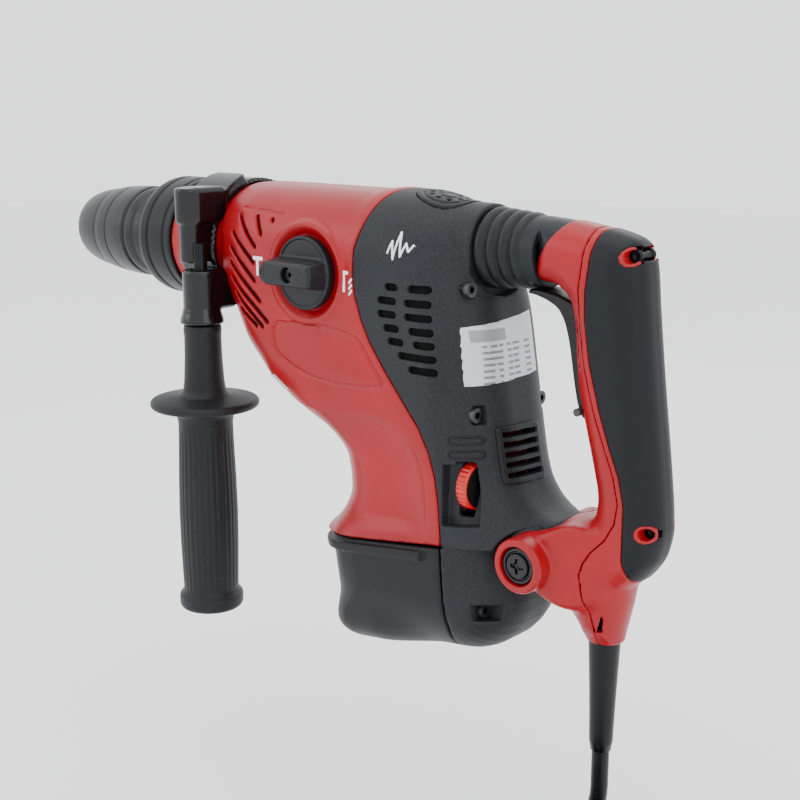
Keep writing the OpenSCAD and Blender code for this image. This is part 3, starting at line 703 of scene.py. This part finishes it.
def bodyForm(b, spec):
    legX, legZ = lean(b, spec)
    profile = outline(b.x, b.z, softened(spec["line"]))
    halfWidth = spec["nose"] + (spec["side"] - spec["nose"]) * ease(163, 186, b.x)
    halfWidth = halfWidth + (spec["flare"] - spec["side"]) * ease(-16, -37, legZ) * ease(20, -30, legX)
    r = 31
    r = r + (23 - r) * ease(-10, -50, b.z) * ease(330, 290, b.x)
    r = r + (35 - r) * ease(-84, -108, b.z) * ease(330, 290, b.x)
    r = r + (33 - r) * ease(315, 335, b.x) * ease(10, -20, b.z)
    r = r + (30 - r) * ease(-16, -30, legZ) * ease(-20, -50, legX)
    crease = outline(b.x, b.z, spec["waist"])
    halfWidth = halfWidth - spec["tuck"] * (1 - np.exp(np.minimum(crease, 0) / 9)) * ease(-38, -26, legZ)
    form = meet(profile, np.abs(b.y) - halfWidth, r)
    form = meet(form, 161 - b.x, 4)
    tubeR = 34.5 - 12.7 * ease(272, 336, b.x)
    tubeZ = 9.5 * ease(276, 336, b.x)
    tube = np.hypot(b.y, b.z - tubeZ) - tubeR
    tube = meet(tube * 0.95, np.maximum(270 - b.x, b.x - 333), 1.2)
    form = join(form, tube, 9)
    form = np.maximum(form, -np.maximum(333.2 - b.x, np.hypot(b.y, b.z - 9) - 23.5))
    pivot = np.hypot(b.x - 376, b.z + 140) - 15.6
    return cut(form, np.maximum(pivot, b.x - 400), 0.8)


def baseForm(b, spec, grow=0.0):
    legX, legZ = lean(b, spec)
    line = [(-70, 20), (-66, -85)]
    for k in range(7):
        a = math.radians(180 + 90 * k / 6)
        line.append((-46 + 20 * math.cos(a), -82 + 20 * math.sin(a)))
    for k in range(9):
        a = math.radians(270 + 90 * k / 8)
        line.append((23 + 36 * math.cos(a), -66 + 36 * math.sin(a)))
    line += [(59, 20)]
    r = 36 - 14 * ease(-70, -95, legZ) * ease(10, -30, legX)
    profile = outline(legX, legZ, line)
    form = meet(profile - grow, np.abs(b.y) - spec["flare"] + 0.4 * ease(-45, -100, legZ) - grow, r)
    pivot = np.hypot(b.x - 376, b.z + 140) - 15.6
    return form, np.maximum(form, -pivot), legX, legZ


def slotCut(b, slots, r, depth=33):
    lines = None
    for start, end in slots:
        line = bar(b.x, b.z, start, end, r)
        lines = line if lines is None else np.minimum(lines, line)
    return np.maximum(lines, depth - np.abs(b.y))


dish = {"x": 236, "z": -8, "shoulder": 27.5, "floor": 20.6, "depth": -36.4, "proud": 0.9}


def makeSlotShadeSheet(name, b, form, slots):  # dark sheet of painted shade behind the slots, so they look into shadow
    lines = slotCut(b, slots, 3.6, 24)
    shadeSheet = np.maximum(lines, np.abs(form + 3.1) - 0.9)
    place(skin(name, b, shadeSheet, "paintedShadeBlack"), "housing", "inner_plastic")


def makeGearCover(spec):
    b = Block((113, -44, -152), (337, 44, 40), 0.75)
    form = bodyForm(b, spec)
    shell = cut(form, form + spec["wall"])
    red = outline(b.x, b.z, [(100, -185), (100, 60)] + coverSeam)
    legX, legZ = lean(b, spec)
    shell = meet(shell, red + spec["gap"], 0.5)
    shell = meet(shell, -40 - legZ + spec["gap"], 0.5)
    neck = meet(band(np.hypot(b.y, b.z), 31.5, 34.5), band(b.x, 116, 166), 0.6)
    shell = join(shell, neck, 1.5)
    away = np.hypot(b.x - dish["x"], b.z - dish["z"])
    pad = meet(away - dish["shoulder"], np.maximum(-spec["side"] - dish["proud"] - b.y, b.y + 34), 1.6)
    shell = join(shell, np.maximum(pad, red + spec["gap"]), 2.5)
    cone = (away - dish["floor"] - 1.12 * (dish["depth"] - b.y)) * 0.66
    shell = cut(shell, np.maximum(cone, b.y - dish["depth"]), 0.7)
    shell = np.maximum(shell, -np.maximum(away - 6, b.y + 30))
    shell = cut(shell, slotCut(b, sideSlots, 1.3), 0.5)
    crease = np.maximum(bar(b.x, b.z, (181, 23.5), (214, 21.5), 0.7), 30 - np.abs(b.y))
    shell = cut(shell, np.maximum(crease, -(form + 0.8)))
    panel = [(207.5, -37.5), (230, -36), (247, -35.4), (262, -36.4), (275, -39.6), (284, -52), (293, -61.5),
             (276, -64.4), (253, -65.4), (230, -62.5), (211, -54)]
    frameLine = np.abs(outline(b.x, b.z, softened(panel, 1))) - 0.6
    shell = cut(shell, allOf(frameLine, b.y, -(form + 0.8)), 0.3)
    place(skin("gearCoverShell", b, shell, "redPlastic"), "housing", "red_shell", "gear_cover")
    makeSlotShadeSheet("frontSlotShade", b, form, sideSlots)


makeGearCover(body)

pockets = [(336, -9, 25), (342, -71, 27), (348, -172, 27)]


def makeRearCover(spec):
    b = Block((262, -44, -222), (392, 44, 40), 0.75)
    form = bodyForm(b, spec)
    base, baseOpen, legX, legZ = baseForm(b, spec)
    dark = outline(b.x, b.z, [(430, -185), (430, 60)] + coverSeam)
    whole = np.maximum(form, -40 - legZ)
    lower = np.maximum(baseOpen, legZ + 40)
    lowerDark = outline(b.x, b.z, [(430, -230), (430, -120)] + baseSeam)
    upperPart = meet(cut(whole, form + spec["wall"]), dark + spec["gap"], 0.5)
    lowerPart = meet(cut(lower, base + spec["wall"]), lowerDark + spec["gap"], 0.5)
    shell = np.minimum(upperPart, lowerPart)
    solid = np.minimum(whole, lower)
    sides = np.abs(b.y)
    for x, z, y in pockets:
        box = allOf(np.abs(b.x - x - 5) - 14, np.abs(b.z - z) - 7, y - 5.5 - sides)
        shell = np.minimum(shell, allOf(box, solid, dark))
        hole = meet(bar(b.x, b.z, (x + 4.5, z), (x + 26, z), 4.6), y - 4.5 - sides, 0.6)
        square = meet(np.maximum(np.abs(b.x - x - 3) - 3, np.abs(b.z - z) - 4.6), y - 4.5 - sides, 0.6)
        shell = cut(shell, np.minimum(hole, square), 0.7)
    raised = bar(b.x, b.z, rearSlots[0][0], rearSlots[0][1], 2.7)
    for start, end in rearSlots[1:]:
        raised = np.minimum(raised, bar(b.x, b.z, start, end, 2.7))
    lips = meet(raised, np.maximum(form - 0.35, -form - 1.5), 0.3)
    shell = np.minimum(shell, np.maximum(lips, dark + spec["gap"]))
    shell = cut(shell, slotCut(b, rearSlots, 1.85, 28), 0.4)
    windowLine = outline(b.x, b.z, [(331, -96.5), (345.5, -94.8), (352, -125.5), (331.5, -128)])
    nearSide = b.y + 17
    bowl = allOf(windowLine - 2.6, nearSide - 2, form, -form - 9)
    shell = np.minimum(shell, np.maximum(bowl, dark + spec["gap"]))
    shell = cut(shell, meet(windowLine, np.maximum(nearSide, -(form + 6.2)), 0.8), 0.9)
    shell = np.maximum(shell, -brick(b, (337.2, -60, -123), (344.8, -8, -94), 0.4))
    tilt = b.z + 78.5 + 0.04 * b.y
    for k in range(5):
        level = np.abs(tilt + 3.7 + 5.1 * k) - 1.3
        shell = cut(shell, allOf(level, np.abs(b.y + 4.6) - 13, 335 - b.x), 0.3)
    cap = allOf(np.hypot(b.x - 303, b.y) - 17.4, 20 - b.z, -form - 1.6)
    shell = cut(shell, cap, 0.4)
    place(skin("rearCoverShell", b, shell, "darkPlastic"), "housing", "dark_shell", "rear_cover")
    makeSlotShadeSheet("rearSlotShade", b, form, rearSlots)
    makeFittings(spec, b, form, tilt)


def makeFittings(spec, b, form, tilt):  # pieces that lie on the rear cover's surface
    ring = np.hypot(b.x - 303, b.y)
    disc = meet(ring - 17.1, allOf(form - 0.5, -form - 1.5, 20 - b.z), 0.4)
    for r in (5.5, 13.5):
        disc = cut(disc, np.maximum(np.abs(ring - r) - 0.6, -form - 0.3), 0.2)
    turn = np.arctan2(b.y, b.x - 303)
    holes = np.hypot(ring - 9.6, 9.6 * (((turn * 5 / math.pi + 20) % 1) - 0.5) * math.pi / 5) - 1.3
    disc = np.maximum(disc, -np.maximum(holes, 20 - b.z))
    place(skin("crankCapDisc", b, disc, "basePlastic"), "housing", "dark_shell", "crank_cap")

    frameBox = meet(np.abs(b.y + 4.6) - 15.6, np.abs(tilt + 13.9) - 14.6, 2.2)
    frameBox = np.maximum(frameBox, 330 - b.x)
    plate = meet(frameBox, np.maximum(form - 1.5, -form - 0.6), 0.6)
    for k in range(5):
        plate = cut(plate, np.maximum(np.abs(tilt + 3.7 + 5.1 * k) - 1.3, np.abs(b.y + 4.6) - 12.6), 0.3)
    place(skin("grillePlate", b, plate, "basePlastic"), "housing", "dark_shell", "rear_grille")

    leftX = 334.2 - 0.13 * (b.z + 27)
    topEdge = b.z + 27.4 - 0.09 * (b.y + 30)
    lowEdge = -56.8 + 0.05 * (b.y + 30) - b.z
    label = allOf(topEdge, lowEdge, leftX - b.x, b.y - 18)
    label = meet(label, np.maximum(form - 0.45, -form - 1.5), 0.15)
    place(skin("ratingPlate", b, label, "ratingFoil"), "housing", "label", "type_plate")

    near = Block((331, -42, -95), (351, -22, -79), 0.35)
    nearForm = bodyForm(near, spec)
    strips = None
    for left, right in (((335.2, -83.6), (345.6, -83.4)), ((335.8, -90.8), (346.6, -90.4))):
        strip = allOf(bar(near.x, near.z, left, right, 2.2), nearForm - 0.6, -nearForm - 1)
        strip = cut(strip, np.maximum(bar(near.x, near.z, left, right, 1.4), -nearForm - 0.1), 0.2)
        strips = strip if strips is None else np.minimum(strips, strip)
    place(skin("speedScaleFrames", near, strips, "basePlastic"), "housing", "dark_shell")
    fine = Block((292, -42, 0), (313, -34, 21), 0.3)
    wave = [
        (294.5, 7), (296.4, 13), (298, 4), (300, 17.5), (302, 5.5), (304, 12), (306, 8), (308, 11.5),
        (311, 10),
    ]
    trace = bar(fine.x, fine.z, wave[0], wave[1], 0.5)
    for start, end in zip(wave[1:], wave[2:]):
        trace = np.minimum(trace, bar(fine.x, fine.z, start, end, 0.5))
    skinForm = bodyForm(fine, spec)
    trace = allOf(trace, skinForm - 0.3, -skinForm - 1)
    place(skin("dampingWave", fine, trace, "whitePrint"), "housing", "label")


makeRearCover(body)


def makeBaseCap(spec):
    b = Block((222, -45, -222), (366, 45, -136), 0.75)
    base, baseOpen, legX, legZ = baseForm(b, spec)
    front = outline(b.x, b.z, [(190, -230), (190, -120)] + [(x - 0.7, z) for x, z in baseSeam])
    shell = meet(cut(base, base + spec["wall"]), np.maximum(legZ + 40.5, front), 0.6)
    lip = allOf(band(legZ, -47.2, -42), legX - 18, -base - 1)
    strip = meet(baseForm(b, spec, 2.4)[0], lip, 0.9)
    shell = join(shell, strip, 0.8)
    return place(skin("baseCapShell", b, shell, "basePlastic"), "housing", "base_shell", "base_cap")


makeBaseCap(body)
print("housing done")


# rear handle: two red halves, the soft pad and the foot round the pivot

handle = {
    "line": [
        (361, -6), (361, 29), (372, 29), (386, 27.5), (408, 24), (418, 21), (423.5, 15), (425.5, 4),
        (427, -12), (431, -45), (436, -81), (439, -105), (440, -120), (437, -133), (430, -143), (421, -151),
        (419, -160), (416.5, -172), (414, -180), (397, -180), (392, -172), (386, -166), (376, -166),
        (366, -160), (363, -150), (362, -138), (364, -127), (371, -120), (384, -118.5), (395, -118.5),
        (400, -114), (401, -104), (397, -88), (392, -70), (388, -54), (386, -39), (385, -23), (382, -12),
        (374, -6.5),
    ],
    "halfWidth": 16.2, "round": 14.5, "inset": 1.8, "footWidth": 27, "pivot": (376, -140),
    "screws": [(418.5, 12), (433, -116.5)],
}
handleSeam = [
    (397, 60), (397, 22), (395.5, 10), (393.5, -5), (394, -20), (397.5, -40), (404.5, -62), (410.5, -77),
    (416.5, -91), (419.5, -104), (418, -114), (413, -123), (407, -130), (403.5, -136), (402, -142),
    (403.5, -152), (406, -161), (408, -172), (409, -210),
]
padSeam = [
    (401, 60), (401, 22), (399.5, 10), (397.4, -5), (397.8, -20), (401.4, -40), (408, -62), (413.6, -77),
    (419.6, -91), (422.6, -104), (422.6, -122), (422.6, -133), (424.5, -142), (429, -144.5), (437, -140),
    (450, -128),
]


def handleForm(b, spec):
    side = outline(b.x, b.z, softened(spec["line"])) + spec["inset"]
    arm = meet(side, np.abs(b.y) - spec["halfWidth"], spec["round"])
    px, pz = spec["pivot"]
    knuckle = np.hypot(b.x - px, b.z - pz) - 14
    footLine = [(376, -154), (398, -163), (410, -157), (414, -140), (410, -122), (396, -117), (376, -126)]
    foot = join(outline(b.x, b.z, softened(footLine)), knuckle, 6)
    foot = meet(foot, np.abs(b.y) - spec["footWidth"] + 9 * ease(384, 412, b.x), 5)
    form = join(arm, foot, 5)
    form = join(form, meet(knuckle, np.abs(b.y) - 36, 2.2), 1.5)
    gland = np.hypot(b.x - 406, b.y) - 9.6 - 4 * ease(-180, -152, b.z)
    return join(form, meet(gland, band(b.z, -180, -150), 1.2), 4)


def gripScrewReach(b, spec):  # distance to the nearest screw axis
    return anyOf(*[np.hypot(b.x - x, b.z - z) for x, z in spec["screws"]])


def makeHandle(spec):
    b = Block((358, -39, -184), (445, 39, 32), 0.7)
    form = handleForm(b, spec)
    px, pz = spec["pivot"]
    front = outline(b.x, b.z, [(340, -210), (340, 60)] + handleSeam)
    sides = np.abs(b.y)
    washerSeat = np.maximum(np.hypot(b.x - px, b.z - pz) - 10, 32 - sides)
    fork = allOf(b.x - 392, np.abs(b.z + 138) - 40, sides - 19.5)
    hollow = np.maximum(outline(b.x, b.z, [
        (391, 14), (412, 13), (416, 6), (418, -12), (422, -45), (427, -81), (430, -105), (430, -122),
        (417, -138), (412, -150), (411, -172), (401, -172), (404, -140), (411, -120), (408, -100),
        (401, -76), (396, -54), (393, -39), (391, -21),
    ]), sides - 13)
    triggerSlot = np.maximum(outline(b.x, b.z, [
        (350, -20), (357, -4), (376, -4), (396, -2), (410, -8), (410, -70), (388, -74), (382, -60),
    ]), sides - 9.4)
    cordHole = np.maximum(np.hypot(b.x - 405.5, b.y) - 8.5, b.z + 165)
    inner = anyOf(hollow, triggerSlot, cordHole, np.maximum(fork, b.x - 386))
    inner = np.minimum(inner, np.maximum(np.hypot(b.y, b.z - 9) - 9, b.x - 380))
    screws = gripScrewReach(b, spec)
    opened = cut(cut(form, inner, 0.3), washerSeat, 0.6)
    slant = 364.5 + 0.7 * (b.z - 1) - b.x  # the neck's front edge leans back
    frontHalf = meet(opened, np.maximum(front + 0.2, slant), 0.45)
    frontPiece = skin("handleFrontShell", b, frontHalf, "redPlastic")
    place(frontPiece, "rear_handle", "red_shell", "handle_front")
    padLine = outline(b.x, b.z, padSeam + [(470, -128), (470, 60)])
    sleeve = allOf(form + 0.7, 8 - np.hypot(b.y, b.z - 9))
    sleeve = meet(sleeve, allOf(358.6 - b.x, -slant - 1.5), 0.8)
    socket = allOf(band(np.hypot(b.y, b.z - 9.5), 13.8, 17.4), band(b.x, 357.5, 368))
    sleeve = np.minimum(sleeve, socket)
    place(skin("neckSleeve", b, sleeve, "bellowsRubber"), "rear_handle", "rubber")
    rearHalf = meet(np.maximum(opened, -front + 0.2), -padLine + 0.15, 0.4)
    ring = allOf(screws - 4.6, form - 0.4, 7 - sides)
    rearHalf = np.minimum(rearHalf, ring)
    rearHalf = cut(rearHalf, screws - 3, 0.4)
    place(skin("handleRearShell", b, rearHalf, "redPlastic"), "rear_handle", "red_shell", "handle_rear")
    pad = meet(opened - 0.35, padLine + 0.15, 0.9)
    pad = np.maximum(pad, 4.4 - screws)
    place(skin("gripPadShell", b, pad, "softRubber"), "rear_handle", "rubber", "grip_pad")


makeHandle(handle)


def makeGripScrews(spec):
    b = Block((400, -17, -124), (442, 17, 20), 0.5)
    screws = gripScrewReach(b, spec)
    core = np.maximum(screws - 2.2, np.abs(b.y) - 5)
    heads = meet(screws - 3.1, np.maximum(np.abs(b.y) - 6.5, 4 - np.abs(b.y)), 0.6)
    socket = np.maximum(screws - 1.2, 5.8 - np.abs(b.y))
    piece = skin("gripScrews", b, cut(np.minimum(core, heads), socket, 0.2), "blackZinc")
    place(piece, "rear_handle", "black_screws", "handle_screws")


makeGripScrews(handle)

pivotScrew = {"centre": (376, -140), "seat": 32, "washer": 9.3, "head": 6.4}


def makePivotScrews(spec):
    b = Block((364, -38, -152), (388, 38, -128), 0.4)
    x = b.x - spec["centre"][0]
    z = b.z - spec["centre"][1]
    sides = np.abs(b.y)
    ring = np.hypot(x, z)
    seat = spec["seat"]
    washer = meet(ring - spec["washer"], np.maximum(sides - seat - 2.4, seat - 6 - sides), 0.8)
    washer = cut(washer, np.maximum(ring - 7.4, seat + 1.2 - sides), 0.4)
    head = meet(ring - spec["head"], np.maximum(sides - seat - 3.2, seat - 6 - sides), 0.9)
    upright = np.maximum(np.abs(x) - 0.9, np.abs(z) - 3.8)
    level = np.maximum(np.abs(z) - 0.9, np.abs(x) - 3.8)
    head = cut(head, np.maximum(anyOf(upright, level, ring - 2), seat + 0.6 - sides), 0.3)
    piece = skin("pivotScrewHeads", b, join(washer, head, 0.3), "glossBlack")
    place(piece, "housing", "black_screws", "pivot_bolts")


makePivotScrews(pivotScrew)

trigger = {
    "line": [
        (359, -10.5), (363, -10.8), (370, -12.6), (377, -16), (381, -22), (384, -32), (386, -43), (388, -54),
        (390, -62), (393, -68), (396, -68), (398, -62), (396, -40), (394, -22), (389, -14), (378, -9.6),
        (366, -7.6), (359.6, -8),
    ],
    "halfWidth": 8.8,
}


def makeTrigger(spec):
    b = Block((356, -11, -71), (401, 11, -5), 0.45)
    blade = meet(outline(b.x, b.z, softened(spec["line"])), np.abs(b.y) - spec["halfWidth"], 2.2)
    blade = cut(blade, np.hypot(b.x - 393, b.z + 64) - 2)
    channel = outline(b.x, b.z, [(389, -20), (400, -20), (400, -60), (393, -60)])
    blade = cut(blade, np.maximum(channel, np.abs(b.y) - 6))
    place(skin("triggerBlade", b, blade, "triggerPlastic"), "trigger_lever", "trigger", "trigger")


makeTrigger(trigger)
print("handle done")

bellows = {"ribs": 4, "start": 333.4, "end": 360.6, "outer": (20.8, 18.6), "drop": 2.4, "centre": (0, 0, 9.5)}


def makeBellows(spec):
    line = []
    steps = spec["ribs"] * 14
    for k in range(steps + 1):
        t = k / steps
        along = spec["start"] + (spec["end"] - spec["start"]) * t
        outer = spec["outer"][0] + (spec["outer"][1] - spec["outer"][0]) * t
        wave = abs(math.sin(math.pi * spec["ribs"] * t)) ** 0.55
        line.append((outer - spec["drop"] * (1 - wave), along))
    line += [(13.4, spec["end"]), (13.4, 345), (15, spec["start"])]
    piece = lathe("bellowsSleeve", line, "bellowsRubber", centre=spec["centre"])
    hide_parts("bellows")
    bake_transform(piece)


makeBellows(bellows)


# keyless chuck and the rubber collar behind it

chuck = {
    "nose": [
        (10.6, -1.9), (17.6, -2), (19.8, -0.9), (21.4, 1.6), (22.8, 5), (24.3, 11), (25.3, 17), (25.9, 22),
        (26.1, 25.5), (25.4, 25.6), (21, 25.6), (21, 27), (16.55, 27), (16.55, 3.1), (15.1, 0), (10.6, 0),
    ],
    "sleeve": [
        (21.6, 26.1), (25.9, 26.1), (26.6, 26.6), (27.4, 32), (27.9, 39), (27.5, 39.4), (27.5, 40.2),
        (28, 40.6),
        (28.5, 50), (28.5, 57), (27.9, 57.9), (27, 58.3), (27, 59.7), (27.9, 60.2), (28, 62), (27.2, 65),
        (26.2, 67), (25.5, 74.3), (24, 74.5), (24, 52), (17.2, 52), (17.2, 30), (21.6, 28),
    ],
    "collar": [
        (24, 83), (31, 83), (33.6, 83.6), (35.2, 85.4), (36, 88.4), (36, 93), (35.3, 93.8), (35.3, 95),
        (36, 95.8), (36, 108), (35.3, 108.8), (35.3, 110.2), (36, 111), (36, 114.8), (35.2, 115.8),
        (31.8, 115.9), (31.8, 96), (24, 96),
    ],
}


def makeChuck(spec):
    nose = lathe("noseCapRubber", rounded(spec["nose"], 1.0), "chuckBlack")
    place(nose, "spindle", "rubber", "nose_cap")
    sleeve = lathe("sleeveRing", rounded(spec["sleeve"], 0.5), "chuckBlack")
    place(sleeve, "sleeve", "rubber", "locking_sleeve")
    collar = lathe("collarRing", rounded(spec["collar"], 0.6), "collarRubber")
    place(collar, "housing", "rubber", "front_collar")


makeChuck(chuck)
print("chuck done")


# side handle: glossy clamp with its post, then the grip

sideGrip = {
    "centre": (159, -48, 0),
    "line": [
        (6, -43), (10.4, -43), (11, -46), (10.6, -50), (10.8, -62), (11.6, -76), (12.4, -82), (15, -84.5),
        (24, -85.8), (30.2, -86.6), (31.4, -88), (31.5, -89.6), (30.6, -91.2), (27, -92), (19, -93.5),
        (16.6, -96), (15.8, -101), (16, -112),
        (16.8, -135), (17.2, -155), (17, -175), (16.4, -195), (16.2, -202), (17.2, -204.4), (18.6, -205.4),
        (18.9, -207), (18.9, -211.6), (17.8, -213.4), (15.6, -214), (3, -214), (3, -206), (6, -204),
    ],
}


def makeSideHandle(spec):
    def ribs(a, along):
        return -0.4 * (0.5 + 0.5 * math.cos(30 * a)) ** 4 if -198 < along < -103 else 0

    grip = lathe("sideGripBody", rounded(spec["line"], 1.2), "gripPlastic", "z", spec["centre"], 180, ribs)
    place(grip, "grip", "grip", "side_grip")
    b = Block((119, -64, -46), (172, 42, 44), 0.6)
    ring = np.hypot(b.y, b.z)
    hoop = meet(np.maximum(ring - 37.6, 34.7 - ring), np.maximum(127 - b.x, b.x - 158), 0.9)
    groove = np.maximum(np.abs(b.x - 141) - 1.2, 36.9 - ring)
    hoop = cut(hoop, groove, 0.5)
    teeth = np.abs(((np.arctan2(b.z, b.y) * 34 + 400) % 3.2) - 1.6) - 0.7
    hoop = cut(hoop, allOf(teeth, 155.5 - b.x, 36.4 - ring, -b.z), 0.3)
    block = brick(b, (143, -50, 13.2), (160, -27, 34), 3)
    block = np.maximum(block, 34.7 - ring)
    lowerBlock = np.maximum(brick(b, (148, -54, -35), (168, -27, -12), 4), 34.7 - ring)
    strap = allOf(brick(b, (129, -45, 22), (158, -8, 42), 6), 34.7 - ring, ring - 41.5)
    knuckle = rod(b.x, b.y, b.z, (150, -48), 7.6, 13.5, 33.5, 1.6)
    middle = rod(b.x, b.y, b.z, (151, -47), 7.0, -8.5, 14.5, 1.0)
    web = np.maximum(brick(b, (143, -47, -8.5), (157, -30, 15), 2), 34.7 - ring)
    post = rod(b.x, b.y, b.z, (159, -48), 10.4, -36, -12, 1.6)
    skirt = np.hypot(b.x - 159, b.y + 48) - 10.6 - 2 * ease(-33, -42, b.z)
    skirt = meet(skirt, band(b.z, -42.4, -34), 0.8)
    clamp = join(join(hoop, block, 1.5), strap, 3)
    clamp = join(clamp, join(knuckle, middle, 1.0), 1.0)
    clamp = join(clamp, join(web, lowerBlock, 0), 1.2)
    clamp = join(clamp, join(post, skirt, 1.0), 1.5)
    notch = np.maximum(bar(b.x, b.y, (139, -54), (139, -41), 3), 24 - b.z)
    clamp = cut(clamp, notch, 0.8)
    clamp = np.maximum(clamp, -np.maximum(np.hypot(b.x - 159, b.y + 48) - 5.2, b.z + 12))
    place(skin("sideClampShell", b, clamp, "glossBlack"), "side_handle", "gloss_black", "side_clamp")


makeSideHandle(sideGrip)
print("side handle done")


# mode dial with its bar, speed wheel, marks

dial = {"x": 236, "z": -8, "r": 19.8, "face": -42.2, "barTop": -54, "barHalf": 8}


def makeDial(spec):
    b = Block((208, -56, -30), (266, -36, 14), 0.45)
    x = b.x - spec["x"]
    z = b.z - spec["z"]
    disc = meet(np.hypot(x, z) - spec["r"], np.maximum(spec["face"] - b.y, b.y + 37), 1.0)
    disc = cut(disc, np.maximum(np.abs(np.hypot(x, z) - 17.6) - 0.5, b.y + 41.6), 0.2)
    barLine = outline(x, z, [
        (-24.5, 0), (-21.5, 6.2), (-17, 8), (12, 8), (17.8, 7.2), (19.2, 0), (17.8, -7.2), (12, -8),
        (-17, -8), (-21.5, -6.2),
    ])
    grip = meet(barLine + 0.16 * (-b.y - 42), np.maximum(spec["barTop"] - b.y, b.y + 40), 1.8)
    form = join(disc, grip, 1.2)
    well = np.maximum(np.hypot(x, z) - 4.2, b.y + 47)
    form = cut(form, well, 0.6)
    form = np.maximum(form, -(np.hypot(x, z) - 2.4))
    mark = outline(x, z, [(-21.5, 0), (-16.5, 2.8), (-16.5, -2.8)])
    form = cut(form, np.maximum(mark, b.y + 53.3), 0.2)
    place(skin("dialKnob", b, form, "dialPlastic"), "dial", "dial", "mode_dial")


makeDial(dial)


modeMarks = [  # start, end and half width of each stroke beside the dial
    ((198, -3), (198, -12), 0.9), ((195.4, -3.2), (201.4, -3.2), 1.1), ((264.6, -5.5), (264.6, -15), 0.8),
    ((262.6, -5.4), (267, -5.4), 1.0), ((268.4, -10.4), (270, -8.4), 0.6), ((268.4, -13.4),
    (270, -11.4), 0.6),
    ((268.4, -16.4), (270, -14.4), 0.6),
]


def makeMarks(strokes):  # plain work-mode signs
    b = Block((176, -41.6, -22), (275, -38.6, 0), 0.3)
    marks = anyOf(*[bar(b.x, b.z, start, end, r) for start, end, r in strokes])
    thin = np.maximum(marks, np.abs(b.y + 39.6) - 0.25)
    place(skin("modeSigns", b, thin, "whitePrint"), "housing", "label")


makeMarks(modeMarks)

wheel = {"centre": (341, -24, -108), "r": 12.4, "half": 3.3, "ribs": 30}


def makeWheel(spec):
    cx, cy, cz = spec["centre"]
    half = spec["half"]
    r = spec["r"]
    line = rounded([
        (2, cx - half), (r - 0.8, cx - half), (r, cx - half + 0.8), (r, cx + half - 0.8),
        (r - 0.8, cx + half), (2, cx + half),
    ], 0.5)

    def knurl(a, along):
        return -0.7 * (0.5 + 0.5 * math.cos(spec["ribs"] * a)) if abs(along - cx) < half - 0.9 else 0

    piece = lathe("speedWheelRim", line, "wheelPlastic", "x", (0, cy, cz), 240, knurl)
    place(piece, "wheel", "wheel", "speed_wheel")
    start = cx - half - 0.3
    end = cx + half + 0.3
    hubLine = rounded([(2, start), (r - 1.4, start), (r - 1.4, end), (2, end)], 0.3)
    # hub in painted shade black, standing in for the shadow on the wheel's sides
    place(lathe("speedWheelHub", hubLine, "paintedShadeBlack", "x", (0, cy, cz)), "wheel", "wheel")


makeWheel(wheel)

relief = {"top": -178, "length": 62, "wide": 8.2, "narrow": 6.0}


def makeRelief(spec):
    line = [(cord["diameter"] / 2 + 0.02, spec["top"] - spec["length"])]
    for k in range(13):
        t = k / 12
        taper = spec["narrow"] + (spec["wide"] - spec["narrow"]) * t ** 1.4
        line.append((taper - (0.8 if k == 0 else 0), spec["top"] + spec["length"] * (t - 1)))
    line += [(8.4, spec["top"] + 0.5), (8.4, spec["top"] + 7), (cord["diameter"] / 2 + 0.02, spec["top"] + 7)]
    piece = lathe("reliefSleeve", line, "cordRubber", "z", (405.5, 0, 0))
    place(piece, "rear_handle", "cord", "strain_relief")


makeRelief(relief)
print("controls and cord sleeve done")


def makeFloor(spec):
    level = spec["floor"]
    reach = spec["floorReach"]
    corners = [(-reach, -reach, level), (reach, -reach, level), (reach, reach, level), (-reach, reach, level)]
    piece = meshFrom("studioFloor", corners, [(0, 1, 2, 3)], "")
    paint = Paint("paleFloor")
    cloud = paint.noise(0.5, 2)
    colour = paint.mix(cloud, (0.93, 0.93, 0.94, 1), (0.96, 0.96, 0.97, 1))
    piece.data.materials.append(paint.finish({"Base Color": colour, "Roughness": 0.85 + cloud * 0.05}))


makeFloor(studio)
